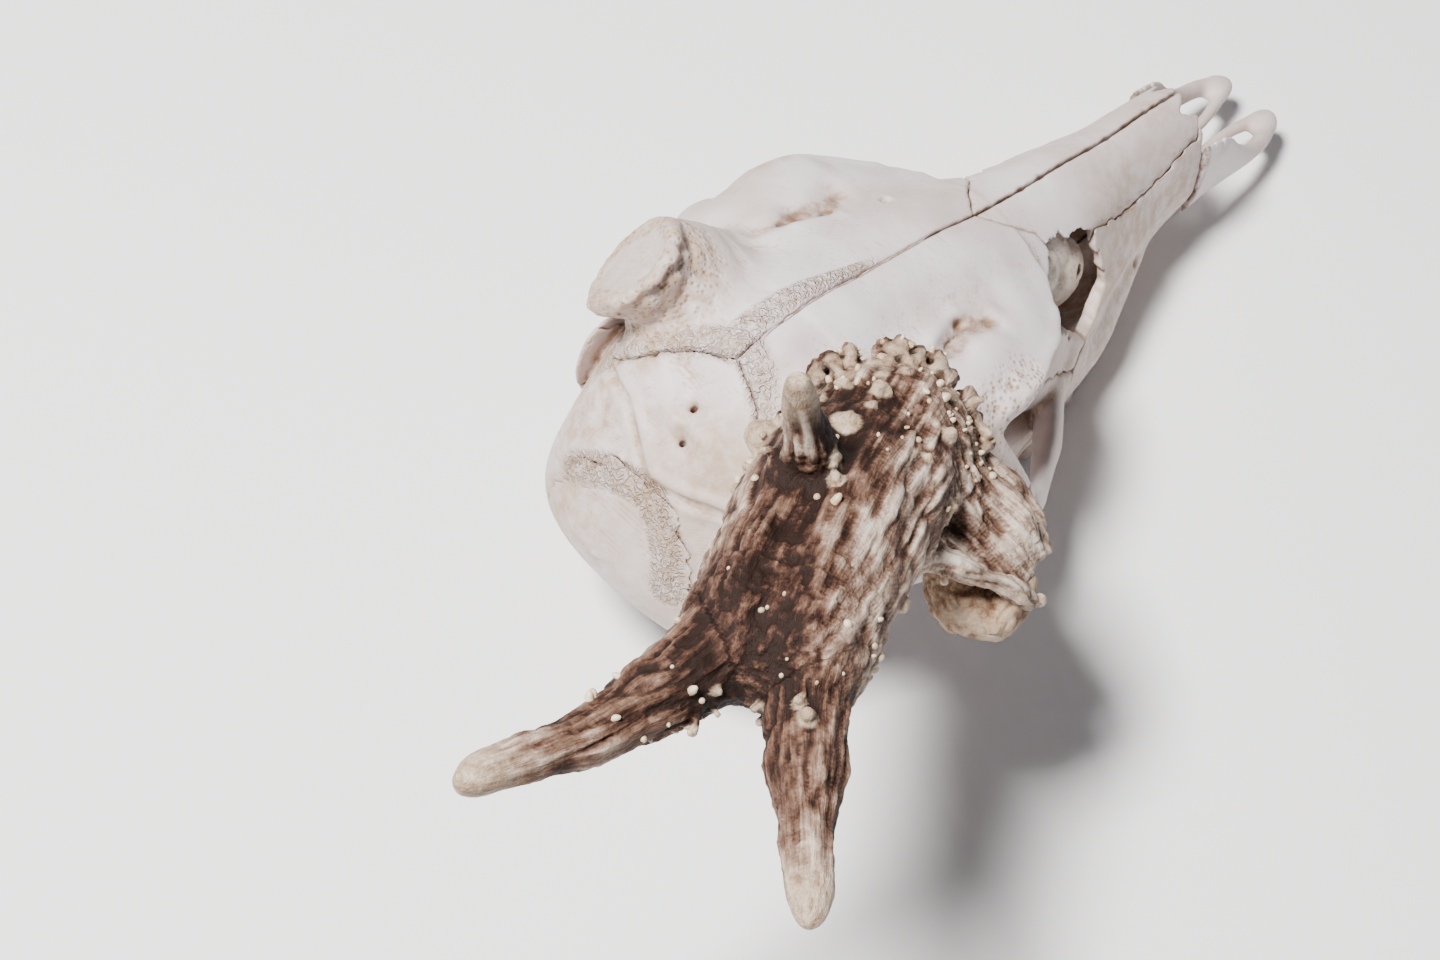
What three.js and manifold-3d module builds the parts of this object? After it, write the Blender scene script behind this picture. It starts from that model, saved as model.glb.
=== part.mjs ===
// Skull of a roe deer buck, without its lower jaw, carrying one malformed antler on its right pedicle.
//
// The skull is modelled whole, as lofts and sweeps that are joined and cut, and is then parted bone by
// bone along its sutures. Millimetres. While it is built, X runs forward to the tips of the premaxillae
// (x = 0), Y runs to the animal's left and Z runs up from the plane of the chewing surfaces (z = 0).
// The last group moves the origin to the middle of the footprint.

import * as THREE from 'three';
import { mergeVertices } from 'three/addons/utils/BufferGeometryUtils.js';
import Module from 'manifold-3d';

const wasm = await Module();
wasm.setup();

// ---------------------------------------------------------------- driving dimensions

const SUTURE_GAP = 0.3; // clear width between neighbouring bones
const INTERNASAL_GAP = 0.9; // the open line between the two nasals
const DETAIL = 0.35; // how far a facet may leave the cut surface when small ones are merged
const FAR = 400; // longer than the whole object, for cutting blocks

// Cranium, nose to occiput: x, half width, height of the widest line, top, bottom, power of the section
// (2 is an ellipse, more is squarer, less is more like a gable).
const CRANIUM = [
  [-36, 10.6, 22, 46.5, 13, 2],
  [-46, 11.6, 22, 49, 12, 2],
  [-58, 13.2, 22, 51.8, 11, 1.9],
  [-70, 16.6, 22, 54.8, 10.5, 1.9],
  [-82, 20.6, 22, 58.6, 10.5, 1.9],
  [-94, 24.4, 25, 62.6, 11, 1.85],
  [-105, 27.4, 32, 66.5, 13, 1.9],
  [-116, 27.6, 41, 71, 20, 2],
  [-128, 22, 50, 75.5, 29, 2.2],
  [-140, 21, 54, 80, 31, 2.25],
  [-152, 26, 55, 84, 29, 2.25],
  [-164, 29.5, 54, 86.3, 27, 2.25],
  [-175, 30.2, 52, 84, 26, 2.25],
  [-186, 28.8, 49, 77, 25, 2.25],
  [-195, 25.8, 45, 68.5, 26, 2.2],
  [-200.5, 22, 43.5, 59.5, 31, 2.15],
  [-204.2, 13.8, 44.5, 52.5, 38, 2.1],
  [-205.6, 6.5, 46, 49.5, 42.5, 2],
];
const CRANIUM_RING = 18;

// Frontal roof with the two orbital rims: x, half width, height of the rim, height of the middle, thickness.
const ROOF = [
  [-101, 17, 59.5, 63.5, 4],
  [-108, 25.5, 60.5, 66.5, 4],
  [-115, 31.5, 63.5, 70, 4.2],
  [-123, 34.6, 66.6, 73.2, 4.4],
  [-132, 36, 68, 76.6, 4.6],
  [-141, 36, 68, 80.2, 5],
  [-148, 33, 68, 82.6, 6],
  [-155, 28, 69, 84.6, 8],
];

// Orbit: a deep round socket that looks out and a little forward.
const ORBIT = { x: -125, y: 41, z: 49, rx: 20.6, ry: 25, rz: 16.8 };

// Zygomatic arch, front to back: x, y, z, half height, half thickness.
const ARCH = [
  [-92, 20.8, 24, 7, 4],
  [-104, 26.8, 25.6, 8, 3.4],
  [-115, 35.2, 27.5, 7, 2.7],
  [-126, 41.4, 32.5, 5.6, 2.4],
  [-136, 44.8, 39.5, 5.2, 2.4],
  [-147, 44.6, 43.6, 4.2, 2.3],
  [-158, 42, 45.2, 3.8, 2.4],
  [-168, 36.6, 45.4, 4.4, 3],
  [-177, 29, 45.4, 6.5, 4.6],
];
// Bar from the frontal down to the arch behind the orbit: x, y, z, half width, half thickness.
const POSTORBITAL = [
  [-145, 31, 68, 7, 3.2],
  [-143.5, 37.5, 63.5, 6, 2.6],
  [-140.5, 42.6, 56, 4.6, 2.3],
  [-138, 45, 47, 4.6, 2.3],
];

// Nasal cavity, open at the front: x, half width, height of the widest line, top, bottom.
const CAVITY = [
  [-30, 8.2, 24, 43.5, 16],
  [-46, 8.8, 24, 46, 15.5],
  [-58, 10.2, 24, 48.8, 15.5],
  [-70, 13.4, 25, 51.8, 15.5],
  [-82, 17.2, 26, 55.4, 16],
  [-94, 20.4, 30, 58.5, 18],
  [-102, 14, 38, 57, 26],
];
// Opening in front of the orbit, between the nasal, frontal, lacrimal and maxilla: outline in x and z.
const VACUITY = [
  [-80, 50.8],
  [-94, 57.6],
  [-101.4, 52],
  [-101, 45],
  [-90, 30.5],
  [-79, 35],
];
const VACUITY_REACH = [8, 40]; // distances from the mid-line between which it is open

// Cheek teeth of one side: gum line, and the six crowns from P2 to M3.
const TOOTH_LENGTHS = [8.6, 9.4, 9.2, 10.4, 11.4, 11];
const TOOTH_ROW = {
  front: -58.5,
  yFront: 9.4,
  yBack: 21.4,
  bow: 3.4,
  halfFront: 3.3,
  halfBack: 5.6,
  crown: 8.5,
};
const ALVEOLUS = { z: 16, halfHeight: 11, wall: 1.2 }; // the swollen bone that holds the teeth
const TOOTH_CLEFT = 0.2; // half gap between two crowns

// Premaxilla: body from the maxilla to the tip (x, y, z, half height, half thickness), and inner rod.
const PREMAXILLA_BODY = [
  [-42, 10.2, 26, 11, 1.5],
  [-34, 10.3, 24.6, 9.6, 1.5],
  [-26, 10, 19.6, 6, 1.7],
  [-17, 9.4, 14.6, 3, 2.1],
  [-8, 8, 11.6, 2.3, 2.5],
  [-2.4, 5.4, 10.8, 2.1, 2.5],
];
const PREMAXILLA_ROD = [
  [-44, 2.6, 15, 1.7, 1.25],
  [-30, 2.9, 13.6, 1.6, 1.25],
  [-16, 3.4, 12.2, 1.6, 1.3],
  [-5, 4.4, 11, 1.7, 1.5],
];
const PREMAXILLA_TIP = { x: -4.4, y: 5.4, z: 10.9, rx: 4.4, ry: 3.3, rz: 2.3 };
const SNOUT_LEAN = 1.5; // how far the tips of the snout stand to the animal's left
const leanAt = (x) => SNOUT_LEAN * THREE.MathUtils.smoothstep(x, -40, 0);

// Pedicles: both grow from the frontal; the left one ends in the seal where its antler was cast.
const PEDICLE_ROOT = new THREE.Vector3(-163, 19, 74);
const SEAL_CENTRE = new THREE.Vector3(-173.4, 26.4, 89.2);
const SEAL_NORMAL = new THREE.Vector3(-0.27, 0.69, 0.67).normalize();
// Radii of the stems, the share of the way where the neck is thinnest, and how flat the section is.
const PEDICLE = { root: 12.6, neck: 9.6, seal: 10.9, burr: 13, waist: 0.62, flatness: 0.94 };
const BURR_CENTRE = new THREE.Vector3(-171, -33, 93.5);
const BURR_NORMAL = new THREE.Vector3(-0.27, -0.5, 0.82).normalize();

// Antler beam and tines: x, y, z, half width across the palm, half thickness.
const BEAM = [
  [-173, -35, 94, 15, 15],
  [-182, -38.8, 101.5, 17, 15.4],
  [-196, -44.2, 110, 17, 14],
  [-211, -51.5, 117, 16.4, 12],
  [-222, -56.5, 121.5, 15, 10.6],
];
const REAR_TINE = [
  [-217, -50.8, 119.5, 10, 10],
  [-238.1, -53, 124.6, 7.3, 7.3],
  [-246.8, -52.2, 127, 6.2, 6.2],
  [-258.5, -51.2, 130.4, 4.8, 4.8],
  [-268.4, -49.2, 134, 3.9, 3.9],
  [-276.5, -47.7, 137.6, 3.3, 3.3],
  [-280.6, -47.2, 139.4, 2.2, 2.2],
];
const SIDE_TINE = [
  [-219, -60.8, 121, 9.8, 9.4],
  [-229, -70, 124, 7.2, 7.2],
  [-240.4, -80.6, 127, 5.8, 5.8],
  [-249, -89.2, 129, 4.3, 4.3],
  [-254.6, -94.6, 130.6, 3, 3],
  [-256.6, -96.6, 131.2, 2, 2],
];
const FRONT_TINE = [
  [-189, -38.5, 107, 8.4, 8.4],
  [-194.2, -38, 118, 6.6, 6.6],
  [-195.9, -36.6, 131, 4.9, 4.9],
  [-197.2, -35.6, 142, 4.1, 4.1],
  [-197.8, -35, 148, 2.9, 2.9],
];
// Sheet of antler bone that hangs out over the right temple: x, y, z, half width, half thickness.
const LATERAL_LOBE = [
  [-171, -44, 96, 12, 7],
  [-169.6, -52, 94, 12, 4.4],
  [-167.6, -60, 89.5, 11.4, 3.4],
  [-166.6, -67, 82, 9, 2.8],
];
const LOBE_CORE = { x: -172.6, y: -61.5, z: 80, rx: 10.5, ry: 11, rz: 7.2 };
const LOBE_ROOT = new THREE.Vector3(-165, -49.5, 94);
const LOBE_OUTWARD = new THREE.Vector3(0.1, -0.95, -0.2).normalize();
const LOBE_BACK = -184; // behind this x and above LOBE_HEIGHT the outer bone belongs to the beam
const LOBE_HEIGHT = 104;
const TINE_SPLIT = 0.2; // share of a tine's path at which it parts from the beam
const CORONET = { beads: 15, radiusX: 17.6, radiusY: 17, bead: 3.1, large: 3.7, height: 3, disc: 9 };
const BEAM_RING = 16;
const TINE_RING = 10;
const FURROW = 0.07; // depth of the long furrows, as a share of the radius

// Underside: auditory bullae, condyles, foramen magnum and the paroccipital processes it rests on.
const BULLA = { x: -171, y: 16.5, z: 22, rx: 11, ry: 6.6, rz: 9 };
const MEATUS = [
  [-170, 19, 32, 3.4, 3.4],
  [-171.5, 31, 35, 3, 3],
];
const CONDYLE = { x: -188.5, y: 10.5, z: 22.5, rx: 6.6, ry: 7, rz: 7.5 };
const FORAMEN_MAGNUM = { x: -200, y: 0, z: 29.5, rx: 12, ry: 7.4, rz: 6.6 };
const PAROCCIPITAL = [
  [-189.5, 21, 36, 7.5, 5],
  [-188.5, 24, 22, 5.6, 3.4],
  [-187, 25, 9, 4.2, 2.6],
  [-186, 25, -3, 3.2, 2.2],
];
const PTERYGOID = { front: -122, back: -143, y: 8.4, thickness: 1.8, top: 36, bottom: 14.5 };
const TURBINATE = [
  [-80, 8.5, 36, 6, 2.4],
  [-87, 11, 40, 9.5, 3.6],
  [-94, 12, 43, 10, 4],
  [-100, 9.5, 44, 6.5, 3],
];

// ---------------------------------------------------------------- solids

// A Manifold from a closed three.js geometry.
function solid(geometry) {
  const plain = geometry.clone();
  plain.deleteAttribute('normal');
  plain.deleteAttribute('uv');
  const merged = mergeVertices(plain, 1e-4);
  const vertProperties = Float32Array.from(merged.attributes.position.array);
  const triVerts = Uint32Array.from(merged.index.array);
  return new wasm.Manifold(new wasm.Mesh({ numProp: 3, vertProperties, triVerts }));
}

// A value of each column of a table at position t from 0 to 1, on a smooth curve through the rows.
function rowAt(table, t) {
  const place = t * (table.length - 1);
  const i = Math.min(Math.floor(place), table.length - 2);
  const f = place - i;
  const before = table[Math.max(i - 1, 0)];
  const start = table[i];
  const end = table[i + 1];
  const after = table[Math.min(i + 2, table.length - 1)];
  return start.map((value, k) => {
    const slopeStart = (end[k] - before[k]) / 2;
    const slopeEnd = (after[k] - value) / 2;
    const rise = end[k] - value;
    return value + f * (slopeStart + f * (3 * rise - 2 * slopeStart - slopeEnd
      + f * (slopeStart + slopeEnd - 2 * rise)));
  });
}

// Rings of points joined into one closed skin with a fan over each end.
function skin(rings) {
  const points = rings.flat();
  const count = rings[0].length;
  const faces = [];
  for (let r = 0; r < rings.length - 1; r += 1) {
    for (let i = 0; i < count; i += 1) {
      const a = r * count + i;
      const b = r * count + ((i + 1) % count);
      faces.push(a, b, b + count, a, b + count, a + count);
    }
  }
  for (const [ring, first, turn] of [[rings[0], 0, 1], [rings.at(-1), (rings.length - 1) * count, 0]]) {
    const centre = ring.reduce((sum, p) => sum.add(p), new THREE.Vector3()).divideScalar(count);
    const middle = points.push(centre) - 1;
    for (let i = 0; i < count; i += 1) {
      const pair = [first + i, first + ((i + 1) % count)];
      if (turn) pair.reverse();
      faces.push(middle, ...pair);
    }
  }
  const geometry = new THREE.BufferGeometry().setFromPoints(points);
  geometry.setIndex(faces);
  const body = solid(geometry);
  if (body.volume() > 0) return body;
  geometry.setIndex(faces.reverse());
  return solid(geometry);
}

const signedPower = (value, power) => Math.sign(value) * Math.abs(value) ** power;

// Loft along X with rounded sections: rows of x, half width, widest height, top, bottom and power.
function loftAlongX(table, steps, ringCount) {
  const rings = [];
  for (let s = 0; s <= steps; s += 1) {
    const [x, half, mid, top, bottom, power = 2] = rowAt(table, s / steps);
    rings.push(Array.from({ length: ringCount }, (_, i) => {
      const angle = (2 * Math.PI * (i + 0.5)) / ringCount;
      const up = signedPower(Math.sin(angle), 2 / power);
      const out = signedPower(Math.cos(angle), 2 / power);
      return new THREE.Vector3(x, half * out, mid + up * (up > 0 ? top - mid : mid - bottom));
    }));
  }
  return skin(rings);
}

// Vaulted plate along X: rows of x, half width, rim height, middle height, thickness.
function plateAlongX(table, steps, across) {
  const rings = [];
  for (let s = 0; s <= steps; s += 1) {
    const [x, half, rim, middle, thickness] = rowAt(table, s / steps);
    const ring = [];
    for (const under of [0, 1]) {
      for (let i = 0; i <= across; i += 1) {
        const side = (2 * i) / across - 1;
        const y = under ? -side : side;
        const crown = rim + (middle - rim) * (1 - y * y);
        ring.push(new THREE.Vector3(x, half * y * (under ? 0.97 : 1), crown - under * thickness));
      }
    }
    rings.push(ring);
  }
  return skin(rings);
}

// Sweep along a smooth path with oval sections: rows of x, y, z, half size along `wide`, half size across it.
function sweep(table, steps, ringCount, wide, furrow = 0) {
  const rings = [];
  const ahead = new THREE.Vector3();
  for (let s = 0; s <= steps; s += 1) {
    const t = s / steps;
    const [x, y, z, a, b] = rowAt(table, t);
    const next = rowAt(table, Math.min(t + 0.01, 1));
    const last = rowAt(table, Math.max(t - 0.01, 0));
    ahead.set(next[0] - last[0], next[1] - last[1], next[2] - last[2]).normalize();
    const u = wide.clone().addScaledVector(ahead, -wide.dot(ahead)).normalize();
    const v = new THREE.Vector3().crossVectors(ahead, u);
    rings.push(Array.from({ length: ringCount }, (_, i) => {
      const angle = (2 * Math.PI * i) / ringCount;
      const ridge = 1 + furrow * (i % 2 ? -1 : 1);
      return new THREE.Vector3(x, y, z)
        .addScaledVector(u, a * ridge * Math.cos(angle))
        .addScaledVector(v, b * ridge * Math.sin(angle));
    }));
  }
  return skin(rings);
}

// Ellipsoid from three numbers of place and three of size.
function ellipsoid({ x, y, z, rx, ry, rz }, across = 8, high = 6) {
  const geometry = new THREE.SphereGeometry(1, across, high);
  geometry.scale(rx, ry, rz);
  geometry.translate(x, y, z);
  return solid(geometry);
}

// Outline moved outwards by `grow`, with mitred corners.
function outset(outline, grow) {
  const points = outline.map(([a, b]) => new THREE.Vector2(a, b));
  const turn = Math.sign(THREE.ShapeUtils.area(points));
  return points.map((point, i) => {
    const before = point.clone().sub(points.at(i - 1)).normalize();
    const after = points[(i + 1) % points.length].clone().sub(point).normalize();
    const outward = [before, after].map((edge) => new THREE.Vector2(edge.y, -edge.x).multiplyScalar(turn));
    const mitre = outward[0].clone().add(outward[1]).divideScalar(1 + outward[0].dot(outward[1]));
    return point.clone().addScaledVector(mitre, grow);
  });
}

// Prism over an outline. Plane 'top' reads the outline as x and y, plane 'side' as x and z; it spans from
// `low` to `high` along the other axis, and stands out by `grow` all round.
function prism(outline, plane, low, high, grow = 0) {
  const shape = new THREE.Shape(outset(outline, grow));
  const geometry = new THREE.ExtrudeGeometry(shape, { depth: high - low + 2 * grow, bevelEnabled: false });
  geometry.translate(0, 0, plane === 'side' ? -high - grow : low - grow);
  if (plane === 'side') geometry.rotateX(Math.PI / 2);
  return solid(geometry);
}

// Block between two corners.
function block(x0, x1, y0, y1, z0, z1) {
  const geometry = new THREE.BoxGeometry(x1 - x0, y1 - y0, z1 - z0);
  geometry.translate((x0 + x1) / 2, (y0 + y1) / 2, (z0 + z1) / 2);
  return solid(geometry);
}

// Half space on the far side of a plane, as a large turned block.
function beyond(point, normal) {
  const geometry = new THREE.BoxGeometry(FAR, FAR, FAR);
  geometry.translate(0, 0, FAR / 2);
  geometry.applyQuaternion(new THREE.Quaternion().setFromUnitVectors(new THREE.Vector3(0, 0, 1), normal));
  geometry.translate(point.x, point.y, point.z);
  return solid(geometry);
}

const join = (...bodies) => bodies.reduce((sum, body) => sum.add(body));
const sideways = (table, side) => table.map(([x, y, ...rest]) => [x, y * side, ...rest]);
const onSide = (spot, side) => ({ ...spot, y: spot.y * side });
const UP = new THREE.Vector3(0, 0, 1);
const FORWARD = new THREE.Vector3(1, 0, 0);

// ---------------------------------------------------------------- the whole skull

// Alveolar ridge and six crowns with worn, level tops and a cleft between each two.
function toothRow(side) {
  const total = TOOTH_LENGTHS.reduce((sum, length) => sum + length, 0);
  const { front, yFront, yBack, bow, halfFront, halfBack, crown } = TOOTH_ROW;
  const at = (share) => [
    yFront + (yBack - yFront) * share + 4 * bow * share * (1 - share),
    halfFront + (halfBack - halfFront) * share,
  ];
  const ridge = [0, 0.25, 0.5, 0.75, 1.04].map((share) => {
    const [y, half] = at(share);
    return [front - total * share, y * side, ALVEOLUS.z, ALVEOLUS.halfHeight, half + ALVEOLUS.wall];
  });
  let row = sweep(ridge, 4, 8, UP);
  let start = 0;
  for (const length of TOOTH_LENGTHS) {
    const [y, half] = at((start + length / 2) / total);
    const x = front - start - length / 2;
    const long = length / 2 - TOOTH_CLEFT;
    const tooth = [
      [x, y * side, 0, long, half - 0.5],
      [x, y * side, crown / 2, long, half],
      [x, y * side, crown + 3, long - 1, half - 0.5],
    ];
    row = row.add(sweep(tooth, 2, 6, FORWARD));
    start += length;
  }
  return row;
}

// Pedicle of one side as a flared stem from the frontal to a flat end.
function pedicle(side, centre, normal, flare) {
  const root = PEDICLE_ROOT.clone();
  root.y *= side;
  const middle = root.clone().lerp(centre, PEDICLE.waist);
  const past = centre.clone().addScaledVector(normal, 3);
  const rows = [[root, PEDICLE.root], [middle, PEDICLE.neck], [centre, flare], [past, flare]];
  const stem = sweep(rows.map(([p, r]) => [p.x, p.y, p.z, r, r * PEDICLE.flatness]), 4, 14, FORWARD);
  return stem.subtract(beyond(centre, normal));
}

function wholeSkull() {
  let skull = join(
    loftAlongX(CRANIUM, 18, CRANIUM_RING),
    plateAlongX(ROOF, 7, 8),
  );
  for (const side of [1, -1]) {
    skull = skull.subtract(ellipsoid(onSide(ORBIT, side), 14, 8));
    skull = join(
      skull,
      sweep(sideways(ARCH, side), 9, 8, UP),
      sweep(sideways(POSTORBITAL, side), 4, 8, FORWARD),
      toothRow(side),
      ellipsoid(onSide(BULLA, side)),
      sweep(sideways(MEATUS, side), 2, 8, UP),
      ellipsoid(onSide(CONDYLE, side)),
      sweep(sideways(PAROCCIPITAL, side), 4, 8, FORWARD),
    );
    const { front, back, y, thickness, top, bottom } = PTERYGOID;
    const plate = block(back, front, y * side - thickness / 2, y * side + thickness / 2, bottom, top);
    skull = skull.add(plate);
  }
  skull = skull.subtract(loftAlongX(CAVITY, 6, 12));
  for (const side of [1, -1]) {
    const [near, far] = VACUITY_REACH.map((reach) => reach * side).sort((a, b) => a - b);
    skull = skull.subtract(prism(VACUITY, 'side', near, far));
  }
  skull = skull.subtract(ellipsoid(FORAMEN_MAGNUM));
  skull = skull.add(pedicle(1, SEAL_CENTRE, SEAL_NORMAL, PEDICLE.seal));
  skull = skull.add(pedicle(-1, BURR_CENTRE, BURR_NORMAL, PEDICLE.burr));
  return skull.subtract(block(-FAR, FAR, -FAR, FAR, -FAR, 0));
}

// Premaxilla of one side: the body and the inner rod meet at the tip and leave a long opening between them.
function premaxilla(side) {
  const bent = (table) => table.map(([x, y, ...rest]) => [x, y * side + leanAt(x), ...rest]);
  const bar = sweep(bent(PREMAXILLA_BODY), 8, 8, UP);
  const rod = sweep(bent(PREMAXILLA_ROD), 4, 6, UP);
  const { x, y, ...size } = PREMAXILLA_TIP;
  const tip = ellipsoid({ x, y: y * side + leanAt(x), ...size }, 8, 6);
  const bone = join(bar, rod, tip);
  const inner = INTERNASAL_GAP / 2;
  return bone.intersect(side > 0 ? block(-FAR, FAR, inner, FAR, -FAR, FAR)
    : block(-FAR, FAR, -FAR, -inner, -FAR, FAR));
}

// ---------------------------------------------------------------- sutures

// Outlines that bound each bone on the animal's left. The right side mirrors them.
const NASAL_TOP = [[-38, 0.45], [-37.6, 1.6], [-41.2, 3.8], [-36.1, 5.6], [-38, 7.8], [-60, 10.2],
  [-80.5, 12.6], [-94, 12.8], [-95.5, 9], [-101, 5], [-105, 0.45]];
const NASAL_SIDE = [[-30, 35], [-60, 39], [-84, 46.5], [-110, 52], [-110, 90], [-30, 90]];
const FRONTAL_TOP = [[-94.3, 0.15], [-94.3, 16], [-102, 21], [-110, 29], [-113, 50], [-152, 50],
  [-164, 36], [-186, 34], [-181, 17], [-175, 9], [-170, 0.15]];
const FRONTAL_SIDE = [[-60, 58], [-104, 54], [-112, 52], [-150, 52], [-168, 62], [-200, 84], [-200, 140],
  [-60, 140]];
const PARIETAL_SIDE = [[-120, 64], [-160, 57], [-204, 54], [-204, 120], [-120, 120]];
const OCCIPITAL_SIDE = [[-195, 90], [-195.3, 67], [-198.4, 59], [-201.2, 50], [-201.6, 43], [-194, 36],
  [-194, -10], [-240, -10], [-240, 90]];
const PAROCCIPITAL_BOX = [-197, -180.5, 18, 40, -10, 33];
const BASILAR_BOX = [-198, -158, -11, 11, -10, 31];
const TEMPORAL_SIDE = [[-149, -10], [-149, 90], [-205, 90], [-205, -10]];
const JUGAL_SIDE = [[-148, 10], [-148, 52], [-130, 52], [-112, 42], [-105, 37], [-97, 29], [-101, 19],
  [-114, 15]];
const LACRIMAL_SIDE = [[-90, 30], [-90, 64], [-120, 64], [-120, 40], [-105, 37], [-97, 29]];
const MAXILLA_BACK = -122;
const MAXILLA_FRONT = new THREE.Vector3(-37.6, 0, 30);
const MAXILLA_FRONT_NORMAL = new THREE.Vector3(1, 0, -0.14).normalize();
const PALATINE_BOX = [-146, -86, -12.5, 12.5, -10, 27];
const HALF_SPAN = 80; // more than half the width of the skull
const MIDLINE_GAP = SUTURE_GAP / 2;
const JUGAL_INSIDE = 21.5; // distance from the mid-line at which each of these two begins
const LACRIMAL_INSIDE = 8;

const mirrored = (outline, side) => outline.map(([x, y]) => [x, y * side]);

// Cutting body of a bone of one side, standing out by `grow`.
function regionOf(name, side, grow) {
  const inner = MIDLINE_GAP - grow;
  const [low, high] = side > 0 ? [inner, HALF_SPAN] : [-HALF_SPAN, -inner];
  const band = (outline, from = inner) => {
    const [a, b] = side > 0 ? [from, HALF_SPAN] : [-HALF_SPAN, -from];
    return prism(outline, 'side', a, b, grow);
  };
  const box = ([x0, x1, y0, y1, z0, z1], way = 1) => {
    const [a, b] = way > 0 ? [y0, y1] : [-y1, -y0];
    return block(x0 - grow, x1 + grow, a - grow, b + grow, z0 - grow, z1 + grow);
  };
  switch (name) {
    case 'nasal':
      return prism(mirrored(NASAL_TOP, side), 'top', 20, 120, grow).intersect(band(NASAL_SIDE));
    case 'frontal':
      return prism(mirrored(FRONTAL_TOP, side), 'top', 20, 140, grow).intersect(band(FRONTAL_SIDE));
    case 'occipital':
      return join(prism(OCCIPITAL_SIDE, 'side', -HALF_SPAN, HALF_SPAN, grow), box(PAROCCIPITAL_BOX),
        box(PAROCCIPITAL_BOX, -1), box(BASILAR_BOX));
    case 'parietal':
      return prism(PARIETAL_SIDE, 'side', -HALF_SPAN, HALF_SPAN, grow);
    case 'temporal':
      return band(TEMPORAL_SIDE);
    case 'jugal':
      return band(JUGAL_SIDE, JUGAL_INSIDE);
    case 'lacrimal':
      return band(LACRIMAL_SIDE, LACRIMAL_INSIDE);
    case 'maxilla':
      return block(MAXILLA_BACK - grow, 0, low, high, -10, 120);
    default:
      return box(PALATINE_BOX);
  }
}

const bones = new THREE.Group();

// A named mesh of one solid, in its own material.
function place(name, body, colour, roughness = 0.62) {
  const clean = body.simplify(DETAIL);
  const { vertProperties, triVerts, numProp } = clean.getMesh();
  const points = [];
  for (let i = 0; i < vertProperties.length; i += numProp) {
    points.push(new THREE.Vector3(vertProperties[i], vertProperties[i + 1], vertProperties[i + 2]));
  }
  const geometry = new THREE.BufferGeometry().setFromPoints(points);
  geometry.setIndex(Array.from(triVerts));
  geometry.computeVertexNormals();
  const material = new THREE.MeshStandardMaterial({ color: colour, roughness, metalness: 0 });
  const mesh = new THREE.Mesh(geometry, material);
  mesh.name = name;
  bones.add(mesh);
}

// The largest of the separate lumps of a body, which drops slivers left by the cuts.
function largest(body) {
  return body.decompose().reduce((best, lump) => (lump.volume() > best.volume() ? lump : best));
}

const BONE = 0xe3dedc;
const ANTLER = 0x8a6a55;
const SPONGY = 0xb89a86;
const SIDES = [['left', 1], ['right', -1]];
const skull = wholeSkull();
let rest = skull;

// Takes one bone out of what is left of the skull.
function part(name, bone, side) {
  place(name, largest(rest.intersect(regionOf(bone, side, 0))), BONE);
  rest = rest.subtract(regionOf(bone, side, SUTURE_GAP));
}

for (const bone of ['nasal', 'frontal']) {
  for (const [label, side] of SIDES) part(`${bone}_${label}`, bone, side);
}
part('occipital', 'occipital', 1);
part('parietal', 'parietal', 1);
for (const bone of ['temporal', 'jugal', 'lacrimal']) {
  for (const [label, side] of SIDES) part(`${bone}_${label}`, bone, side);
}
part('palatine', 'palatine', 1);

// The maxillae and the premaxillae meet at a crack across the snout.
const crack = MAXILLA_FRONT.clone().addScaledVector(MAXILLA_FRONT_NORMAL, SUTURE_GAP);
for (const [label, side] of SIDES) {
  const cheek = largest(rest.intersect(regionOf('maxilla', side, 0)));
  place(`maxilla_${label}`, cheek.subtract(beyond(MAXILLA_FRONT, MAXILLA_FRONT_NORMAL)), BONE);
  place(`premaxilla_${label}`, largest(premaxilla(side).intersect(beyond(crack, MAXILLA_FRONT_NORMAL))), BONE);
  const scroll = sweep(sideways(TURBINATE, side), 6, 10, UP, 0.12);
  place(`turbinate_${label}`, largest(scroll.subtract(skull)), BONE, 0.7);
}
rest = rest.subtract(block(MAXILLA_BACK - SUTURE_GAP, FAR, -FAR, FAR, -FAR, FAR));
place('sphenoid', largest(rest), BONE);

// ---------------------------------------------------------------- the antler

// Ring of pearls round the burr.
function coronet() {
  const across = new THREE.Vector3(0, 1, 0).addScaledVector(BURR_NORMAL, -BURR_NORMAL.y).normalize();
  const along = new THREE.Vector3().crossVectors(across, BURR_NORMAL);
  const { beads, radiusX, radiusY, bead, large, height } = CORONET;
  return join(...Array.from({ length: beads }, (_, i) => {
    const angle = (2 * Math.PI * i) / beads;
    const size = i % 3 ? bead : large;
    const spot = BURR_CENTRE.clone().addScaledVector(BURR_NORMAL, height)
      .addScaledVector(along, radiusX * Math.cos(angle)).addScaledVector(across, radiusY * Math.sin(angle));
    return ellipsoid({ x: spot.x, y: spot.y, z: spot.z, rx: size, ry: size, rz: size }, 5, 3);
  }));
}

// Disc that the pearls stand on.
function burr() {
  const geometry = new THREE.CylinderGeometry(1, 1, CORONET.disc, 18);
  geometry.rotateX(Math.PI / 2);
  geometry.scale(CORONET.radiusX, CORONET.radiusY, 1);
  geometry.applyQuaternion(new THREE.Quaternion().setFromUnitVectors(UP, BURR_NORMAL));
  geometry.translate(BURR_CENTRE.x, BURR_CENTRE.y, BURR_CENTRE.z);
  return solid(geometry);
}

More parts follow.
